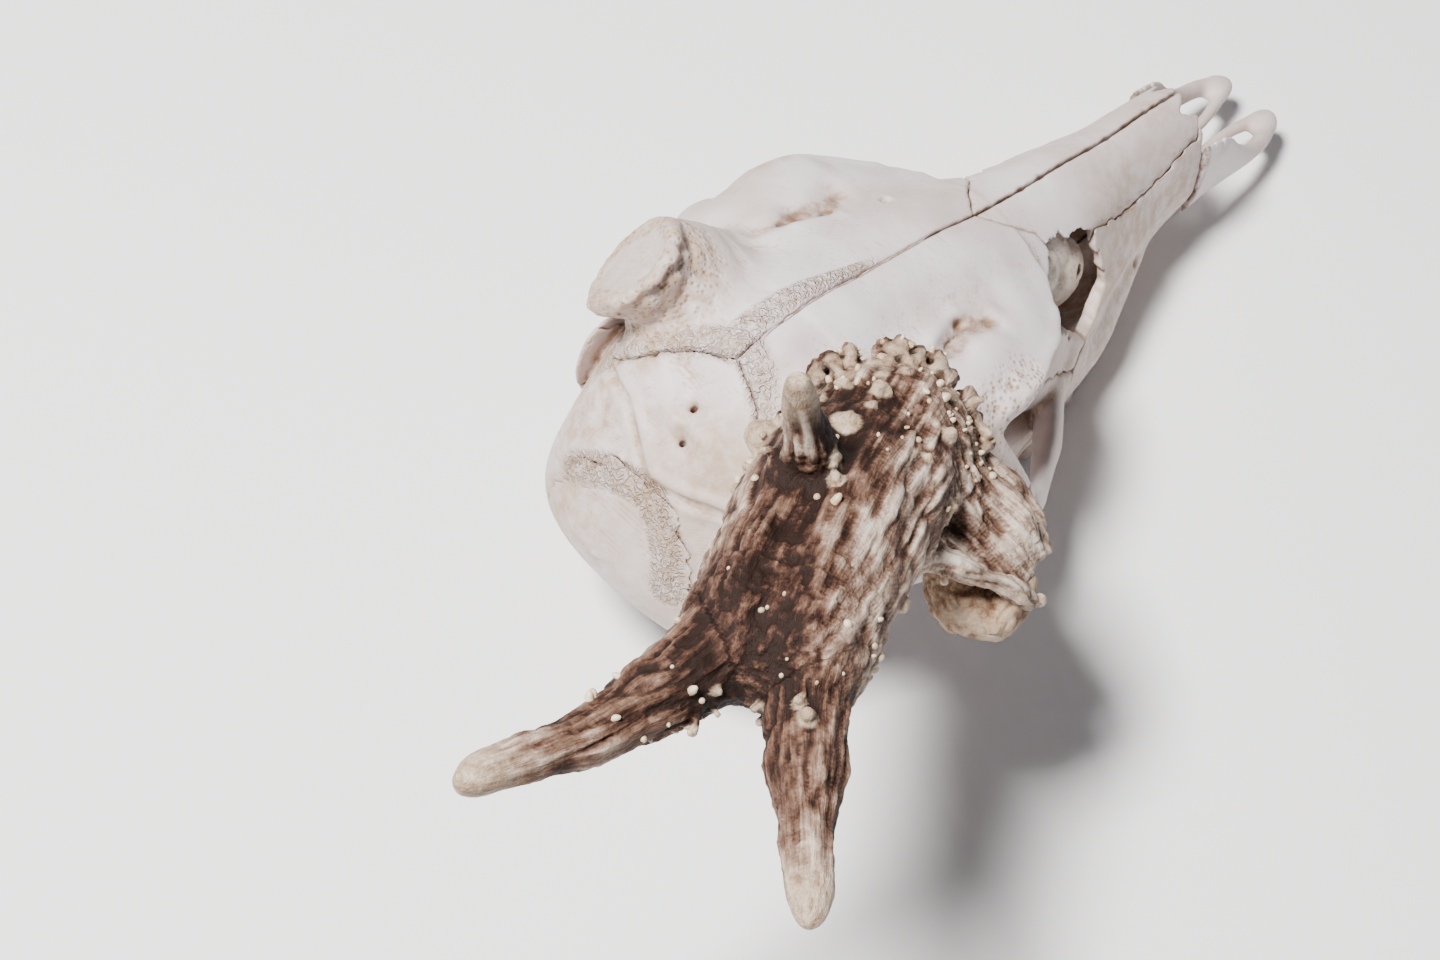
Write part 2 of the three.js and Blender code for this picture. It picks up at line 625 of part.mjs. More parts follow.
// Splits a tine from the beam at a plane across it, part way along the tine.
function splitTine(name, table, wide, antler) {
  const rows = [rowAt(table, TINE_SPLIT), rowAt(table, TINE_SPLIT + 0.05)];
  const [foot, next] = rows.map(([x, y, z]) => new THREE.Vector3(x, y, z));
  const ahead = next.clone().sub(foot).normalize();
  const whole = sweep(table, 8, TINE_RING, wide, FURROW);
  place(name, largest(whole.intersect(beyond(foot, ahead))), ANTLER, 0.7);
  const below = foot.clone().addScaledVector(ahead, -SUTURE_GAP);
  const zone = sweep(table.map(([x, y, z, a, b]) => [x, y, z, a + 3, b + 3]), 3, 8, wide);
  return antler.add(whole.subtract(beyond(below, ahead))).subtract(zone.intersect(beyond(below, ahead)));
}

const PALM_NORMAL = new THREE.Vector3(-0.52, 0, 0.85).normalize();
const PALM_WIDE = new THREE.Vector3(-0.5, 0.85, -0.1).normalize();
let beam = join(sweep(BEAM, 7, BEAM_RING, PALM_WIDE, FURROW), burr(), coronet());
beam = splitTine('antler_tine_rear', REAR_TINE, PALM_NORMAL, beam);
beam = splitTine('antler_tine_side', SIDE_TINE, PALM_NORMAL, beam);
beam = splitTine('antler_tine_front', FRONT_TINE, FORWARD, beam);

// The antler is cut level with the burr, just clear of the pedicle, and the lobe is cut from its side.
const aboveBurr = beyond(BURR_CENTRE.clone().addScaledVector(BURR_NORMAL, SUTURE_GAP), BURR_NORMAL);
const lobe = sweep(LATERAL_LOBE, 6, TINE_RING, FORWARD, FURROW).add(ellipsoid(LOBE_CORE));
const lobeSpace = (gap) => beyond(LOBE_ROOT.clone().addScaledVector(LOBE_OUTWARD, -gap), LOBE_OUTWARD)
  .intersect(block(LOBE_BACK - gap, FAR, -FAR, FAR, -FAR, LOBE_HEIGHT + gap));
beam = beam.add(lobe.intersect(aboveBurr)).intersect(aboveBurr).subtract(lobeSpace(SUTURE_GAP));
place('antler_beam', largest(beam), ANTLER, 0.75);
place('antler_lobe', largest(lobe.intersect(lobeSpace(0))), SPONGY, 0.85);

// The origin moves to the middle of the footprint, on the surface that the skull rests on.
const box = new THREE.Box3().setFromObject(bones);
const middle = box.getCenter(new THREE.Vector3());
bones.position.set(-middle.x, -middle.y, -box.min.z);
const deerSkull = new THREE.Group();
deerSkull.add(bones);

export default deerSkull;
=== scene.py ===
# %% [markdown]
# # A roe deer buck's skull with one malformed antler
#
# Bone has no straight line in it. Its walls swell, thin out and fold into each other, and the antler is
# rougher still. Pushing single vertices about gives such forms slowly, so this lesson models them as a
# sculptor does, in clay. The clay is a block of small cubes, and each cube knows how far it lies from the
# surface. Forms are added to it and cut from it with soft joints, the bones are parted along their sutures,
# and only then is each bone turned into a mesh.

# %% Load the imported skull, which gives every piece its place
import math

import bpy
import numpy as np
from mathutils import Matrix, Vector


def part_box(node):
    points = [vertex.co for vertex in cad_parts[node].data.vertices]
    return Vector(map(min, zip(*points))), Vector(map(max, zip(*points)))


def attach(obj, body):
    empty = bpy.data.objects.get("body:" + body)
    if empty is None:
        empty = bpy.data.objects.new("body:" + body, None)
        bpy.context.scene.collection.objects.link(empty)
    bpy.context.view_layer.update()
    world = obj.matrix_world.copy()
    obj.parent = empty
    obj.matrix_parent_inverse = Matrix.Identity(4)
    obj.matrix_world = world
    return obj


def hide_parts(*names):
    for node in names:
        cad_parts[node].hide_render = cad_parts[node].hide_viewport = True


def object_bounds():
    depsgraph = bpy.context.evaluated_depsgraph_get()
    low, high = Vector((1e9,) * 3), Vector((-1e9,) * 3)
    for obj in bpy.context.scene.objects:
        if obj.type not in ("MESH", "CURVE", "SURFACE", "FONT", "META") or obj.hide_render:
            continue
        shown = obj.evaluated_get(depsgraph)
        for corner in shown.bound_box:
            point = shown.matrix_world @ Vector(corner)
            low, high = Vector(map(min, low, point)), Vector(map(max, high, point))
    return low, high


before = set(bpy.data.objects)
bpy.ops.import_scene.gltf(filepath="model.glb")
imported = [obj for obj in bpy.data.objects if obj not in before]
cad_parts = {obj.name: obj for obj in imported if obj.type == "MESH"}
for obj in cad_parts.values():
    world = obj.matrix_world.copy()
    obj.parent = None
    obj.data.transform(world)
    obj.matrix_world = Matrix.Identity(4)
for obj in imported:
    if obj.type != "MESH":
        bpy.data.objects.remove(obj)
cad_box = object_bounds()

import openvdb
from mathutils import Matrix, Vector

MM = 0.001
snout_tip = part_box("premaxilla_left")[1].x
midline = (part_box("jugal_left")[1].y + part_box("jugal_right")[0].y) / 2
SKULL_ZERO = np.array([snout_tip, midline, 0.0]) / MM
print("nodes:", len(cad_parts), " skull zero, mm:", SKULL_ZERO.round(2))

# %% [markdown]
# ## The clay
#
# All sizes below are millimetres in the skull's own frame. X runs forward and is 0 at the tip of the snout,
# Y runs to the animal's left and is 0 on the mid-line, and Z runs up from the chewing surfaces. A cube's
# number is its distance to the surface: below zero in the bone, above zero in the air. Adding a form is the
# lesser of two distances, and cutting one is the greater. A soft lesser, which rounds the joint over a few
# millimetres, is what makes the forms grow into each other as bone does.


# %% A soft joint between two forms
def soft_least(a, b, blend):
    """The lesser of two distances, rounded over `blend` millimetres where they meet."""
    if not blend:
        return np.minimum(a, b)
    share = np.clip(0.5 + 0.5 * (b - a) / blend, 0, 1)
    return b + (a - b) * share - blend * share * (1 - share)


def soft_most(a, b, blend):
    """The greater of two distances, rounded over `blend` millimetres where they meet."""
    return -soft_least(-a, -b, blend)


# %% A smooth curve through the rows of a table
def smooth_rows(rows, parts=6):
    """The rows of a table, with more rows between them on a smooth curve."""
    rows = np.array(rows, float)
    slope = (np.vstack([rows[1:], rows[-1:]]) - np.vstack([rows[:1], rows[:-1]])) / 2
    fine = []
    for i in range(len(rows) - 1):
        f = np.linspace(0, 1, parts, endpoint=False)[:, None]
        rise = rows[i + 1] - rows[i]
        bend = slope[i] + slope[i + 1] - 2 * rise
        fine.append(rows[i] + f * (slope[i] + f * (rise - slope[i] - bend + f * bend)))
    return np.vstack([*fine, rows[-1:]])


# %% The block of clay
FAR = 50  # the distance that empty clay starts with, in millimetres


class Clay:
    """A block of distances to a surface, in millimetres, on a grid of cubes."""

    def __init__(self, low, high, step):
        self.low = np.array(low, float)
        self.step = step
        self.axes = [np.arange(a, b + step, step, dtype=np.float32) for a, b in zip(low, high)]
        self.field = np.full([len(axis) for axis in self.axes], FAR, dtype=np.float32)

    def window(self, low, high):
        """The part of the block between two corners, and the x, y and z of its cubes."""
        cut, place = [], []
        for k, (axis, a, b) in enumerate(zip(self.axes, low, high)):
            part = slice(max(int(np.searchsorted(axis, a)) - 1, 0), int(np.searchsorted(axis, b)) + 1)
            cut.append(part)
            place.append(axis[part].reshape([-1 if k == i else 1 for i in range(3)]))
        return tuple(cut), place

    def places(self):
        """The x, y and z of all cubes, shaped so that they combine."""
        return [axis.reshape([-1 if k == i else 1 for i in range(3)]) for k, axis in enumerate(self.axes)]

    def add(self, shape, blend=0.0):
        """Presses a form on. A form is its low corner, its high corner and its distance function."""
        low, high, distance = shape
        cut, place = self.window(low - blend - 3, high + blend + 3)
        self.field[cut] = soft_least(self.field[cut], distance(*place), blend)

    def cut(self, shape, blend=0.0):
        """Takes a form away."""
        low, high, distance = shape
        cut, place = self.window(low - blend - 3, high + blend + 3)
        self.field[cut] = -soft_least(-self.field[cut], distance(*place), blend)

    def settle(self, line):
        """Moves the points of a line onto the nearest surface."""
        points = np.array(line, float)
        size = np.array(self.field.shape)
        for _ in range(6):
            cube = np.clip(np.rint((points - self.low) / self.step).astype(int), 2, size - 3)
            slope = np.zeros_like(points)
            for k, way in enumerate(2 * np.eye(3, dtype=int)):
                rise = self.field[tuple((cube + way).T)] - self.field[tuple((cube - way).T)]
                slope[:, k] = rise / (4 * self.step)
            pull = self.field[tuple(cube.T)] / np.maximum((slope**2).sum(1), 0.25)
            points -= slope * np.clip(pull, -2, 2)[:, None]
        return points

    def swell(self, line, width, height):
        """Raises the surface along a bent line, or sinks it where height is below zero."""
        line = ends = self.settle(line)
        cut, place = self.window(ends.min(0) - 3 * width, ends.max(0) + 3 * width)
        self.field[cut] -= height * np.exp(-((line_distance(line, *place) / width) ** 2))

    def roughen(self, relief, reach=2.0):
        """Raises the surface by relief(points), worked out only for cubes near the surface."""
        near = np.nonzero(np.abs(self.field) < reach)
        points = np.stack([axis[i] for axis, i in zip(self.axes, near)], 1)
        self.field[near] -= relief(points).astype(np.float32)


def line_distance(line, x, y, z):
    """Distance in millimetres from places to a bent line."""
    nearest = None
    for a, b in zip(np.array(line[:-1], float), np.array(line[1:], float)):
        way = b - a
        t = ((x - a[0]) * way[0] + (y - a[1]) * way[1] + (z - a[2]) * way[2]) / max(way @ way, 1e-6)
        t = np.clip(t, 0, 1)
        gap = (x - a[0] - t * way[0]) ** 2 + (y - a[1] - t * way[1]) ** 2 + (z - a[2] - t * way[2]) ** 2
        nearest = gap if nearest is None else np.minimum(nearest, gap)
    return np.sqrt(nearest)


# %% The forms that are pressed into the clay: a ball, a swept rod, a loft and a vaulted plate
MARGIN = 4  # how far round a piece of rod its distance is worked out, in millimetres


def ball(centre, radii):
    """An ellipsoid."""
    c, r = np.array(centre, float), np.array(radii, float)

    def distance(x, y, z):
        parts = [(p - c[k]) / r[k] for k, p in enumerate((x, y, z))]
        reach = np.sqrt(sum(p * p for p in parts))
        slope = np.sqrt(sum((p / r[k]) ** 2 for k, p in enumerate(parts)))
        return reach * (reach - 1) / np.maximum(slope, 1e-5)

    return c - r, c + r, distance


def sweep(rows, wide=(0, 0, 1), parts=4):
    """An oval rod along a path of x, y, z, half size along `wide` and half size across it."""
    rows = smooth_rows(rows, parts)
    reach = rows[:, 3:5].max()

    def distance(x, y, z):
        nearest = np.full(np.broadcast_shapes(x.shape, y.shape, z.shape), FAR, dtype=np.float32)
        for start, end in zip(rows[:-1], rows[1:]):
            near = MARGIN + max(start[3], start[4], end[3], end[4])
            spans = []
            for k, p in enumerate((x, y, z)):
                flat = p.ravel()
                low, high = min(start[k], end[k]) - near, max(start[k], end[k]) + near
                spans.append(slice(int(np.searchsorted(flat, low)), int(np.searchsorted(flat, high))))
            spans = tuple(spans)
            if any(s.stop <= s.start for s in spans):
                continue
            way = end[:3] - start[:3]
            side = np.array(wide, float) - way * (np.dot(wide, way) / (way @ way))
            side /= np.linalg.norm(side)
            px, py, pz = x[spans[0]] - start[0], y[:, spans[1]] - start[1], z[:, :, spans[2]] - start[2]
            t = np.clip((px * way[0] + py * way[1] + pz * way[2]) / (way @ way), 0, 1).astype(np.float32)
            qx, qy, qz = px - t * way[0], py - t * way[1], pz - t * way[2]
            along = qx * side[0] + qy * side[1] + qz * side[2]
            length2 = qx * qx + qy * qy + qz * qz
            half_wide = start[3] + t * (end[3] - start[3])
            half_thick = start[4] + t * (end[4] - start[4])
            ratio = np.sqrt((along / half_wide) ** 2 + np.maximum(length2 - along**2, 0) / half_thick**2)
            length = np.sqrt(length2)
            found = length - length / np.maximum(ratio, 1e-4)
            found = np.maximum(found, -np.minimum(half_wide, half_thick))
            nearest[spans] = np.minimum(nearest[spans], found)
        return nearest

    return rows[:, :3].min(0) - reach, rows[:, :3].max(0) + reach, distance


def loft(rows):
    """A body along X: rows of x, half width, height of the widest line, top, bottom and section's power."""
    fine = smooth_rows(rows)[::-1]

    def distance(x, y, z):
        half, mid, top, bottom, power = (np.interp(x, fine[:, 0], fine[:, k]).astype(np.float32)
                                         for k in range(1, 6))
        reach = np.where(z > mid, top - mid, mid - bottom)
        ratio = ((np.abs(y) / half) ** power + (np.abs(z - mid) / reach) ** power) ** (1 / power)
        length = np.sqrt(y * y + (z - mid) ** 2)
        found = length - length / np.maximum(ratio, 1e-3)
        return np.maximum(found, np.maximum(fine[0, 0] - x, x - fine[-1, 0]))

    width = fine[:, 1].max()
    low = np.array([fine[0, 0], -width, fine[:, 4].min()])
    high = np.array([fine[-1, 0], width, fine[:, 3].max()])
    return low, high, distance


def vault(rows):
    """A plate along X, arched across: rows of x, half width, rim height, middle height and thickness."""
    fine = smooth_rows(rows)[::-1]

    def distance(x, y, z):
        half, rim, middle, thick = (np.interp(x, fine[:, 0], fine[:, k]).astype(np.float32)
                                    for k in range(1, 5))
        crown = rim + (middle - rim) * (1 - np.minimum((y / half) ** 2, 1.6))
        found = np.maximum(np.abs(z - crown + thick / 2) - thick / 2, np.abs(y) - half)
        return np.maximum(found, np.maximum(fine[0, 0] - x, x - fine[-1, 0]))

    width = fine[:, 1].max()
    low = np.array([fine[0, 0], -width, (fine[:, 2] - fine[:, 4]).min() - 6])
    return low, np.array([fine[-1, 0], width, fine[:, 3].max()]), distance


# %% [markdown]
# ## Unevenness
#
# A real surface is never as even as a formula. Two kinds of noise stand in for growth. Long waves, a sum of
# a few sines, bend the sutures and make the broad forms swell. A lattice noise gives the finer relief, and
# stretched along a tine it gives the furrows of the antler.


# %% Waves and lattice noise
def waves(seed, size, *place):
    """A sum of six sine waves of about `size` millimetres, from -1 to 1."""
    chance = np.random.default_rng(seed)
    total = 0
    for _ in range(6):
        way = chance.normal(size=len(place))
        way *= 2 * math.pi / size * chance.uniform(0.6, 1.5) / np.linalg.norm(way)
        total = total + np.sin(sum(w * p for w, p in zip(way, place)) + chance.uniform(0, 2 * math.pi))
    return total / 4


CHANCE = np.random.default_rng(1).uniform(-1, 1, (64, 64, 64)).astype(np.float32)


def lattice(points, size, seed=0):
    """Smooth noise from -1 to 1 at (n, 3) points, in lumps of about `size` millimetres."""
    scaled = (points / np.asarray(size, float) + seed * 7.31).astype(np.float32)
    cell = np.floor(scaled).astype(np.int32)
    f = scaled - cell
    f = f * f * (3 - 2 * f)
    total = np.zeros(len(points), np.float32)
    for corner in np.ndindex(2, 2, 2):
        a, b, c = ((cell + corner) & 63).T
        fx, fy, fz = (np.where(corner, f, 1 - f)).T
        total += fx * fy * fz * CHANCE[a, b, c]
    return total


# %% [markdown]
# ## The cranium
#
# The tables hold what calipers would give: the skull's half width, its widest line, top and bottom at a
# few places along its length. A loft through them makes the face and the braincase. The vaulted roof, the
# orbits, the cheekbones and the rest are added and cut one by one, and each joint has the softness that
# the bone has there.

# %% Caliper tables of the skull
CRANIUM = [
    [-36, 10.6, 22, 46.5, 13, 2],
    [-46, 11.6, 22, 49, 12, 2],
    [-58, 13.2, 22, 51.8, 11, 1.9],
    [-70, 16.6, 22, 54.8, 10.5, 1.9],
    [-82, 20.6, 22, 58.6, 10.5, 1.9],
    [-94, 24.4, 25, 62.6, 11, 1.85],
    [-105, 27.4, 32, 66.5, 13, 1.9],
    [-116, 27.6, 41, 71, 20, 2],
    [-128, 22, 50, 75.5, 29, 2.2],
    [-140, 21, 54, 80, 31, 2.25],
    [-152, 26, 55, 84, 29, 2.25],
    [-164, 29.5, 54, 86.3, 27, 2.25],
    [-175, 30.2, 52, 84, 26, 2.25],
    [-186, 28.8, 49, 77, 25, 2.25],
    [-195, 25.8, 45, 68.5, 26, 2.2],
    [-200.5, 22, 43.5, 59.5, 31, 2.15],
    [-204.2, 13.8, 44.5, 52.5, 38, 2.1],
    [-205.6, 6.5, 46, 49.5, 42.5, 2],
]
ROOF = [
    [-101, 17, 59.5, 63.5, 4],
    [-108, 25.5, 60.5, 66.5, 4],
    [-115, 31.5, 63.5, 70, 4.2],
    [-123, 34.6, 66.6, 73.2, 4.4],
    [-132, 36, 68, 76.6, 4.6],
    [-141, 36, 68, 80.2, 5],
    [-148, 33, 68, 82.6, 6],
    [-155, 28, 69, 84.6, 8],
]
CAVITY = [
    [-30, 8.2, 24, 43.5, 16, 2],
    [-46, 8.8, 24, 46, 15.5, 2],
    [-58, 10.2, 24, 48.8, 15.5, 2],
    [-70, 13.4, 25, 51.8, 15.5, 2],
    [-82, 17.2, 26, 55.4, 16, 2],
    [-94, 20.4, 30, 58.5, 18, 2],
    [-102, 14, 38, 57, 26, 2],
]
ARCH = [
    [-92, 20.8, 24, 7, 4],
    [-104, 26.8, 25.6, 8, 3.4],
    [-115, 35.2, 27.5, 7, 2.7],
    [-126, 41.4, 32.5, 5.6, 2.4],
    [-136, 44.8, 39.5, 5.2, 2.4],
    [-147, 44.6, 43.6, 4.2, 2.3],
    [-158, 42, 45.2, 3.8, 2.4],
    [-168, 36.6, 45.4, 4.4, 3],
    [-177, 29, 45.4, 6.5, 4.6],
]
POSTORBITAL = [
    [-145, 31, 68, 7, 3.2],
    [-143.5, 37.5, 63.5, 6, 2.6],
    [-140.5, 42.6, 56, 4.6, 2.3],
    [-138, 45, 47, 4.6, 2.3],
]
PTERYGOID = [[-123, 8.4, 25, 9, 1], [-133, 8.4, 25, 9, 1], [-142, 8.6, 26, 7, 1]]
PAROCCIPITAL = [
    [-189.5, 21, 36, 7.5, 5],
    [-188.5, 24, 22, 5.6, 3.4],
    [-187, 25, 9, 4.2, 2.6],
    [-186, 25, 2.2, 3.2, 2.2],
]
print("skull length, mm:", -CRANIUM[-1][0])


# %% Press the large forms
def sided(rows, side):
    """A table of x, y, z and sizes, on the animal's left (1) or right (-1)."""
    return [[row[0], row[1] * side, *row[2:]] for row in rows]


SKULL_STEP = 0.5
skull = Clay((-208, -49, -2), (1.5, 49, 103), SKULL_STEP)
skull.add(loft(CRANIUM))
skull.add(vault(ROOF), 2.5)
for side in (1, -1):
    rim = [[x, half * side * 0.955, height - 2.0, 2.1, 2.1] for x, half, height, _, _ in ROOF[1:7]]
    skull.add(sweep(rim, (0, 1, 0)), 2)
    skull.cut(ball((-125, 41 * side, 49), (20.6, 25, 16.8)), 1.6)  # orbit
    skull.add(sweep(sided(ARCH, side)), 3)
    skull.add(sweep(sided(POSTORBITAL, side), (1, 0, 0)), 3)
    skull.add(ball((-171, 16.5 * side, 22), (11, 6.6, 9)), 2)  # ear capsule
    skull.add(sweep([[-170, 19 * side, 32, 3.4, 3.4], [-171.5, 31 * side, 35, 3, 3]]), 2)  # ear tube
    skull.add(ball((-188.5, 10.5 * side, 22.5), (6.6, 7, 7.5)), 3)  # condyle
    skull.add(sweep(sided(PAROCCIPITAL, side), (1, 0, 0)), 3)
    skull.add(sweep(sided(PTERYGOID, side)), 1)
print("skull clay:", skull.field.shape, "cubes")

# %% [markdown]
# ### Teeth
#
# A roe deer chews with six cheek teeth on each side. Their crowns are high, with two crescent columns each,
# worn level. Each crown is two short upright rods that run into each other, set in a swollen gum line of
# bone.

# %% Press the tooth rows
TOOTH_LENGTHS = (8.6, 9.4, 9.2, 10.4, 11.4, 11)
TOOTH_ROW = {"front": -58.5, "y_front": 9.4, "y_back": 21.4, "bow": 3.4, "half_front": 3.3,
             "half_back": 5.6}
CROWN_FOOT, CROWN_TOP = 3.2, 11.5  # heights of the chewing end's rounding and of the root end
COLUMNS = (0.26, 0.74)  # the two crescents of a crown, as shares of its length


def tooth_place(share):
    """Distance from the mid-line and half width of the tooth row, from its front (0) to its back (1)."""
    row = TOOTH_ROW
    y = row["y_front"] + (row["y_back"] - row["y_front"]) * share + 4 * row["bow"] * share * (1 - share)
    return y, row["half_front"] + (row["half_back"] - row["half_front"]) * share


def press_teeth(side):
    """The gum ridge and the six crowns of one side."""
    total = sum(TOOTH_LENGTHS)
    ridge = []
    for share in (0, 0.25, 0.5, 0.75, 1.04):
        y, half = tooth_place(share)
        ridge.append([TOOTH_ROW["front"] - total * share, y * side, 17, 9.5, half + 1])
    skull.add(sweep(ridge), 1.5)
    start = 0
    for length in TOOTH_LENGTHS:
        for column in COLUMNS:
            x = TOOTH_ROW["front"] - start - length * column
            y, half = tooth_place((start + length * column) / total)
            thick = length * 0.26
            crown = [[x, y * side, CROWN_FOOT, half - 0.7, thick],
                     [x, y * side, CROWN_TOP, half - 0.3, thick * 0.9]]
            skull.add(sweep(crown, (0, 1, 0), parts=2), 0.9)
        start += length


for side in (1, -1):
    press_teeth(side)
print("cheek teeth pressed:", 2 * len(TOOTH_LENGTHS))

# %% [markdown]
# ### Pedicles
#
# An antler grows on a stem of the frontal bone, the pedicle. The left antler has been cast, so its pedicle
# ends in a seal: a nearly round, pitted face with a thin flared rim. The right pedicle still carries its
# antler and ends square under the burr.

# %% Press the pedicles
PEDICLE_ROOT = np.array([-163.0, 19, 74])
SEAL_CENTRE = np.array([-173.4, 26.4, 89.2])
SEAL_NORMAL = np.array([-0.27, 0.69, 0.67])
SEAL_NORMAL = SEAL_NORMAL / np.linalg.norm(SEAL_NORMAL)
BURR_CENTRE = np.array([-171.0, -33, 93.5])
BURR_NORMAL = np.array([-0.27, -0.5, 0.82])
BURR_NORMAL = BURR_NORMAL / np.linalg.norm(BURR_NORMAL)
SEAL_RADIUS = 10.1
NECK = 9.4
SEAL_BUTTRESS = [[-156, 22, 72, 9, 7], [-160.5, 26.5, 79, 6.6, 6], [-164.5, 28, 85.4, 4.6, 5]]
TEMPLE_PLATE = ball((-178, 29.6, 60), (8, 1.7, 11))
RIM_BEADS = 34  # beads that make the flared rim of the seal


def ring_frame(normal):
    """Two directions in the plane across a normal."""
    first = np.cross(normal, (0, 0, 1.0))
    first /= np.linalg.norm(first)
    return first, np.cross(normal, first)


def along_plane(point, normal, place):
    """Distance of places from a plane, above zero on the side that its normal points to."""
    return sum((p - c) * n for p, c, n in zip(place, point, normal))


def beyond(point, normal):
    """Everything on the far side of a plane."""
    def distance(x, y, z):
        return -along_plane(point, normal, (x, y, z))

    return np.array(point) - 30, np.array(point) + 30, distance


def press_pedicle(side, end, normal, neck, flare):
    """A stem from the forehead to a face, which widens at its end."""
    root = PEDICLE_ROOT * (1, side, 1)
    middle = root + 0.62 * (end - root)
    rows = [[*root, neck + 4.5, neck + 3.5], [*middle, neck, neck * 0.94],
            [*(end - 1.5 * normal), flare, flare * 0.94], [*(end + 2 * normal), flare, flare * 0.94]]
    skull.add(sweep(rows, (1, 0, 0)), 5)


press_pedicle(1, SEAL_CENTRE, SEAL_NORMAL, NECK, SEAL_RADIUS - 0.6)
skull.add(sweep(SEAL_BUTTRESS, (1, 0, 0)), 4)
skull.add(TEMPLE_PLATE, 1.2)
press_pedicle(-1, BURR_CENTRE, BURR_NORMAL, NECK, NECK + 2.4)
for centre, normal in ((SEAL_CENTRE, SEAL_NORMAL), (BURR_CENTRE, BURR_NORMAL)):
    skull.cut(beyond(centre, normal))
first, second = ring_frame(SEAL_NORMAL)
for i in range(RIM_BEADS):
    angle = 2 * math.pi * i / RIM_BEADS
    reach = SEAL_RADIUS - 0.4 + 0.5 * math.sin(3 * angle + 1) + 0.45 * math.sin(11 * angle)
    out = math.cos(angle) * first + 0.97 * math.sin(angle) * second
    spot = SEAL_CENTRE + reach * out - 0.7 * SEAL_NORMAL
    skull.add(ball(spot, (1.5, 1.5, 1.1 + 0.3 * math.sin(5 * angle))), 1.0)
print("pedicles pressed; seal", round(2 * SEAL_RADIUS, 1), "mm across")

# %% [markdown]
# ### Relief of the forehead and the braincase
#
# The frontals swell into rough welts along the mid-line and in front of the parietal, where the bones were
# still growing. Ridges cross the braincase where the jaw and neck muscles ended. Blood vessels and nerves
# left grooves and holes over the orbits and pits in the parietal.

# %% The lines of the relief
CORONAL_WELT = [(-183.5, 26, 69), (-179.5, 19, 75), (-175.2, 12, 80), (-171.4, 5, 84), (-169.6, 0, 85.4)]
TEMPORAL_LINE = [(-182, 21, 71), (-186, 13, 74.5), (-189.9, 6.4, 72.6), (-192.2, 2.6, 70.7),
                 (-194, -0.4, 69.2), (-192.7, -6.4, 69.7), (-190.9, -11.6, 70.5), (-187, -19, 69.5),
                 (-182, -25, 65)]
LAMBDOID = [(-199, 15.2, 58.2), (-197.7, 9.7, 62.8), (-196.7, 4, 65.1), (-196.1, -2, 66.3),
            (-198.1, -7.5, 62.6), (-200, -11.1, 58.3), (-202.2, -13.6, 52.5)]
LIP_WANDER = (0.2, -0.5, 0.3, 0.7, -0.4, 0.5, -0.6, 0.4, 0)
LIP = [(x - 1.5 + w, y + w, z - 0.5) for (x, y, z), w in zip(TEMPORAL_LINE, LIP_WANDER)]
LIP_BEHIND = [(x - 1.9, y, z - 1.2) for x, y, z in LIP]


def mirrored(line):
    """The same line on the other side of the head."""
    return [(x, -y, z) for x, y, z in line]


# Each stroke is a line, a half width and a height, which sinks the bone where it is below zero.
RIDGES = [
    (TEMPORAL_LINE, 1.3, 1.6),
    (LIP, 0.9, -2.4),
    (LIP_BEHIND, 1.0, 0.9),
    (LIP_BEHIND[2:6], 2.4, -1.2),
    (LAMBDOID, 3.2, 0.7),
    ([(x - 5.5, y, z - 4.5) for x, y, z in LAMBDOID[:5]], 2.6, -0.8),
    ([(-193.1, -15, 66.3), (-193.1, -20.4, 62)], 5.5, -2.0),
    ([(-203.6, 4.5, 52), (-204.5, 3, 50)], 1.8, 1.1),
]
PARIETAL_DENTS = [
    ([(-182.7, 1.6, 79), (-182.0, 1.0, 79.4)], 2.6, -2.3),
    ([(-187.8, -1.7, 75.3), (-187.2, -1.2, 75.6)], 2.3, -2.1),
    ([(-179.7, 4.8, 80.6), (-178.6, 7.5, 80.7)], 2.5, -2.3),
    ([(-178.0, 1.0, 82), (-177.4, -3.0, 82)], 2.4, -0.7),
    ([(-185.2, 5.6, 76), (-184.9, -4.5, 76)], 1.5, 0.8),
    ([(-178, -5, 81.6), (-186, -7, 76), (-190, -8, 72)], 2.4, 0.7),
    ([(-190, 14, 66), (-180, 19, 70), (-168, 25, 70)], 2.6, -1.1),
    ([(-184, 12, 75), (-190, 14, 68)], 1.4, 0.6),
]
FOREHEAD = [
    ([(-126, -25, 71.5), (-134, -28, 72), (-141, -30, 72)], 4.0, 1.0),
    ([(-118, -16, 69), (-127, -15, 73), (-138, -14, 77)], 6, -1.2),
    ([(-119, 13, 70.4), (-130, 14, 74.5), (-142, 13, 78.5)], 6, -0.6),
    ([(-122, 30, 70), (-132, 31.5, 71), (-144, 30.5, 73)], 4.6, 2.2),
    ([(-150, 20, 80), (-158, 12, 84), (-163, 6, 86)], 6, -0.9),
    ([(-150, -16, 80), (-158, -10, 84)], 6, -1.2),
]
VESSEL_GROOVE = [(-144.5, 22.6, 75.3), (-139, 21.2, 75), (-134.5, 20.9, 74), (-129.5, 19.4, 73.5),
                 (-124, 20.6, 71)]
GROOVE_FLOOR = [[-146, 20, 73, 5, 2.6], [-122, 18, 67, 5, 2.6]]
BOTH_SIDES = [
    (VESSEL_GROOVE[:3], 1.8, -2.2),
    (VESSEL_GROOVE[2:], 3.0, -2.6),
    ([(-137.5, 18.0, 76), (-128, 16.4, 74)], 1.6, 0.7),
    ([(-66, 12.6, 41), (-84, 15.5, 47)], 3.4, -0.8),
    ([(-60, 15, 30), (-80, 19, 32), (-94, 23, 33)], 2.6, 0.9),
]
